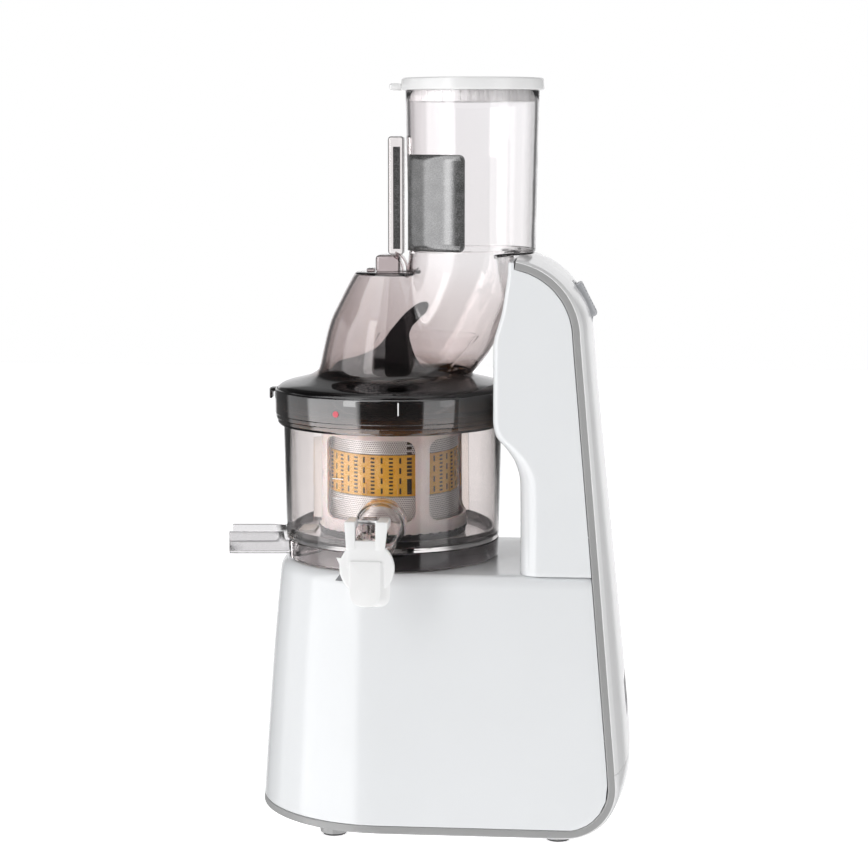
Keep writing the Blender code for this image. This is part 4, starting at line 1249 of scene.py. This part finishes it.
def plate(bm, behind, ahead, back, front, edge=0.0008):
    # A solid between two outlines of (x, z), with its front edge rounded.
    count = len(ahead)
    centre = sum((Vector(point) for point in ahead), Vector((0, 0))) / count
    levels = [(back, behind, None), (back, behind, 0), (front + edge, ahead, 0),
              (front + edge * 0.45, ahead, edge * 0.16), (front + edge * 0.12, ahead, edge * 0.5),
              (front, ahead, edge), (front, ahead, None)]

    def place(share, level):
        y, outline, inset = level
        if inset is None:
            return Vector((centre.x, y, centre.y))
        point = Vector(outline[round(share * count) % count])
        if inset:
            point += (centre - point).normalized() * inset
        return Vector((point.x, y, point.y))

    part = bmesh.new()
    skin(part, place, count, levels)
    mendMesh(part)
    mesh = bpy.data.meshes.new("plate")
    part.to_mesh(mesh)
    part.free()
    bm.from_mesh(mesh)
    bpy.data.meshes.remove(mesh)


juiceFlap = {
    "centre": 0.1944, "radius": 0.0179, "back": -0.1175,
    "bridge": (-0.0132, 0.0117, 0.0178),                       # left, right, top
    "arms": [(-0.0145, -0.0075, -0.0132), (0.0057, 0.0138, 0.0117)],      # left, right, outer edge low down
    "tongue": [(-0.0107, 0.0040), (-0.0107, -0.0256), (0.0149, -0.0256), (0.0149, 0.0040)],
    "pad": [(-0.0113, 0.0048), (-0.0113, -0.0252), (0.0094, -0.0252), (0.0094, 0.0048)],
}


def juiceCap():
    low, high = span("juice_cap")
    middle, front, back = (low.x + high.x) / 2, low.y, juiceFlap["back"]
    z = juiceFlap["centre"]

    def outline(points, radii, steps=6):
        return rounded([(middle + x, z + y) for x, y in points], radii, steps)

    bm = bmesh.new()
    disc = [(middle + juiceFlap["radius"] * math.cos(t), z + juiceFlap["radius"] * math.sin(t))
            for t in between(0, 2 * math.pi, 96)[:-1]]
    plate(bm, disc, disc, back + 0.0004, front + 0.0018, 0.0012)
    left, right, top = juiceFlap["bridge"]
    block = outline([(left, top), (left, 0), (right, 0), (right, top)], 0.0008)
    plate(bm, block, block, back, front + 0.0016)
    for left, right, foot in juiceFlap["arms"]:
        inner = right if foot < 0 else left
        outer = left if foot < 0 else right
        rise = high.z - z
        arm = outline([(outer, rise), (foot, 0.0120), (inner, 0.0120), (inner, rise)], [0.0012, 0, 0, 0.0012])
        plate(bm, arm, arm, back + 0.0002, front + 0.0012)
        roundBox(bm, (middle + min(outer, inner) + 0.0003, back - 0.0030, high.z - 0.0062),
                 (middle + max(outer, inner) - 0.0003, high.y, high.z - 0.0002), 0.0011, 3)
    plate(bm, outline(juiceFlap["tongue"], [0.001, 0.008, 0.008, 0.001]),
          outline(juiceFlap["pad"], [0.0015, 0.0102, 0.0102, 0.0015]), back - 0.0002, front, 0.0007)
    addPiece("juiceCap", bm, "cap", capWhite, "white_housing", ["juice_cap"], angle=50, mend=False)


hopperShell()
lidRing()
feedFunnel()
feedGuide()
domeBoss()
chuteGrip()
labelPlate()
lidFittings()
feedRim()
juiceCap()
print("hopper and cap ready")


# finishes of the carried-over parts

corners = ("front_left", "front_right", "rear_left", "rear_right")
finishes = [
    (trimSilver, [f"foot_{corner}" for corner in corners]),
    (padRubber, [f"foot_pad_{corner}" for corner in corners] + ["deck_seal"]),
    (steel, ["motor_can", "motor_end_cap", "motor_pinion", "gearbox_plate", "shaft_bearing", "idler_pin",
             "output_gear", "drive_shaft", "cap_hinge_pin", "auger_top_pin"]),
    (copperSteel, ["motor_stator", "motor_rotor"]),
    (fanGrey, ["cooling_fan", "gearbox_cover"]),
    (augerIvory, ["idler_gear"]),
    (matBlack, ["switch_body", "vent_grille", "lid_sensor"]),
    (board, ["control_board"]),
    (sealWhite, ["bowl_bottom_seal", "pulp_plug", "cap_seal"]),
]
for material, node in [(material, node) for material, nodes in finishes for node in nodes]:
    carried = frame["nodes"][node]
    carried.data.materials.clear()
    carried.data.materials.append(material)
print("finishes ready")


# studio

studio = {
    "fill": 0.53, "panelGain": 4.0,
    # panels seen in shine: degrees round from straight behind the object, and brightness
    "level": [(-180, 0.02), (-155, 0.03), (-150, 0.80), (-98, 0.85), (-94, 0.28), (-66, 0.25), (-60, 0.04),
              (-28, 0.04), (-22, 0.25), (14, 0.25), (20, 0.04), (58, 0.04), (66, 0.20), (111, 0.08),
              (112, 0.42), (144, 0.42), (145, 0.03), (180, 0.02)],
    "raised": [(-180, 0.03), (-173, 0.03), (-172, 0.42), (-154, 0.42), (-151, 0.85), (-100, 0.85),
               (-98, 0.12), (-80, 0.02), (-26, 0.02), (-20, 0.10), (12, 0.10), (18, 0.02), (80, 0.03),
               (111, 0.04), (112, 0.25), (144, 0.25), (145, 0.03), (180, 0.03)],
    "zenith": 0.35,
    "raisedFrom": (0.30, 0.38), "zenithFrom": (0.88, 0.94),      # steepness where each blends in
    "floor": 3.0, "lens": 95.39, "eye": (0.13965, -1.55182, 0.47609),
    "aim": (0.00255, 0.01525, 0.26620),
    "softboxes": [("leftBox", (-1.1, -1.5, 0.9), (0, 0, 0.25), (0.45, 1.5), 6.0),
                  ("rightBox", (1.5, -0.9, 0.8), (0, 0, 0.25), (0.5, 1.3), 1.0),
                  ("topBox", (0, 0.1, 1.9), (0, 0, 0.2), (1.6, 1.6), 1.4)],
}


def studioFloor():
    bm = bmesh.new()
    bmesh.ops.create_grid(bm, x_segments=2, y_segments=2, size=studio["floor"])
    mesh = bpy.data.meshes.new("floor")
    bm.to_mesh(mesh)
    bm.free()
    floor = bpy.data.objects.new("floor", mesh)
    bpy.context.scene.collection.objects.link(floor)
    mix = Recipe("floorPaper")
    mix.set(Base_Color=mix.ramp(mix.noise(3), [(0.3, grey(0.93)), (0.7, grey(0.94))]), Roughness=0.6,
            Specular_IOR_Level=0.2, Emission_Color=(1, 1, 1, 1), Emission_Strength=0.60)
    # shine and clear parts look past the paper to the panels
    mix.feed(mix.surface, mix.either(mix.shiny(), mix.shader.outputs[0], mix.through((1, 1, 1))))
    mesh.materials.append(mix.material)


def aimed(holder, place, aim):
    holder.location = place
    holder.rotation_euler = (Vector(aim) - Vector(place)).to_track_quat('-Z', 'Y').to_euler()
    bpy.context.scene.collection.objects.link(holder)


def softbox(name, place, aim, size, power):
    lamp = bpy.data.lights.new(name, 'AREA')
    lamp.shape = 'RECTANGLE'
    lamp.size, lamp.size_y = size
    lamp.energy = power
    aimed(bpy.data.objects.new(name, lamp), place, aim)


def studioSky():
    world.use_nodes = True
    world.node_tree.nodes.clear()
    sky = Wiring(world.node_tree)
    way = sky.split(sky.node('ShaderNodeTexCoord').outputs["Generated"])
    turn = sky.sum('ARCTAN2', way[0], way[1])        # 0 straight behind the object, from the front
    share = sky.sum('ADD', sky.sum('DIVIDE', turn, 2 * math.pi), 0.5)

    def shades(rows):
        stops = [(degrees / 360 + 0.5, (value, value, value * 1.01)) for degrees, value in rows]
        return sky.ramp(share, stops)

    def plain(colour, strength):
        made = sky.node('ShaderNodeBackground')
        sky.feed(made.inputs[0], colour)
        made.inputs[1].default_value = strength
        return made.outputs[0]

    raised = sky.spread(sky.sum('ABSOLUTE', way[2]), 0, 1, *studio["raisedFrom"])
    around = sky.blend(raised, shades(studio["level"]), shades(studio["raised"]))
    above = sky.blend(sky.spread(way[2], 0, 1, *studio["zenithFrom"]), around, (*grey(studio["zenith"]), 1))
    white = (1, 1, 1, 1)
    lit = sky.either(sky.shiny(), plain(white, studio["fill"]), plain(above, studio["panelGain"]))
    camera = sky.node('ShaderNodeLightPath').outputs["Is Camera Ray"]
    sky.feed(sky.node('ShaderNodeOutputWorld').inputs[0], sky.either(camera, lit, plain(white, 1)))


def studioCamera():
    lens = bpy.data.cameras.new("camera")
    lens.lens = studio["lens"]
    lens.sensor_width = 36
    holder = bpy.data.objects.new("camera", lens)
    aimed(holder, studio["eye"], studio["aim"])
    bpy.context.scene.camera = holder


studioFloor()
studioSky()
studioCamera()
for name, place, aim, size, power in studio["softboxes"]:
    softbox(name, place, aim, size, power)
scene = bpy.context.scene
scene.view_settings.view_transform = 'Standard'
scene.cycles.max_bounces = 24
scene.cycles.transmission_bounces = 24
scene.cycles.transparent_max_bounces = 24
print("studio ready")
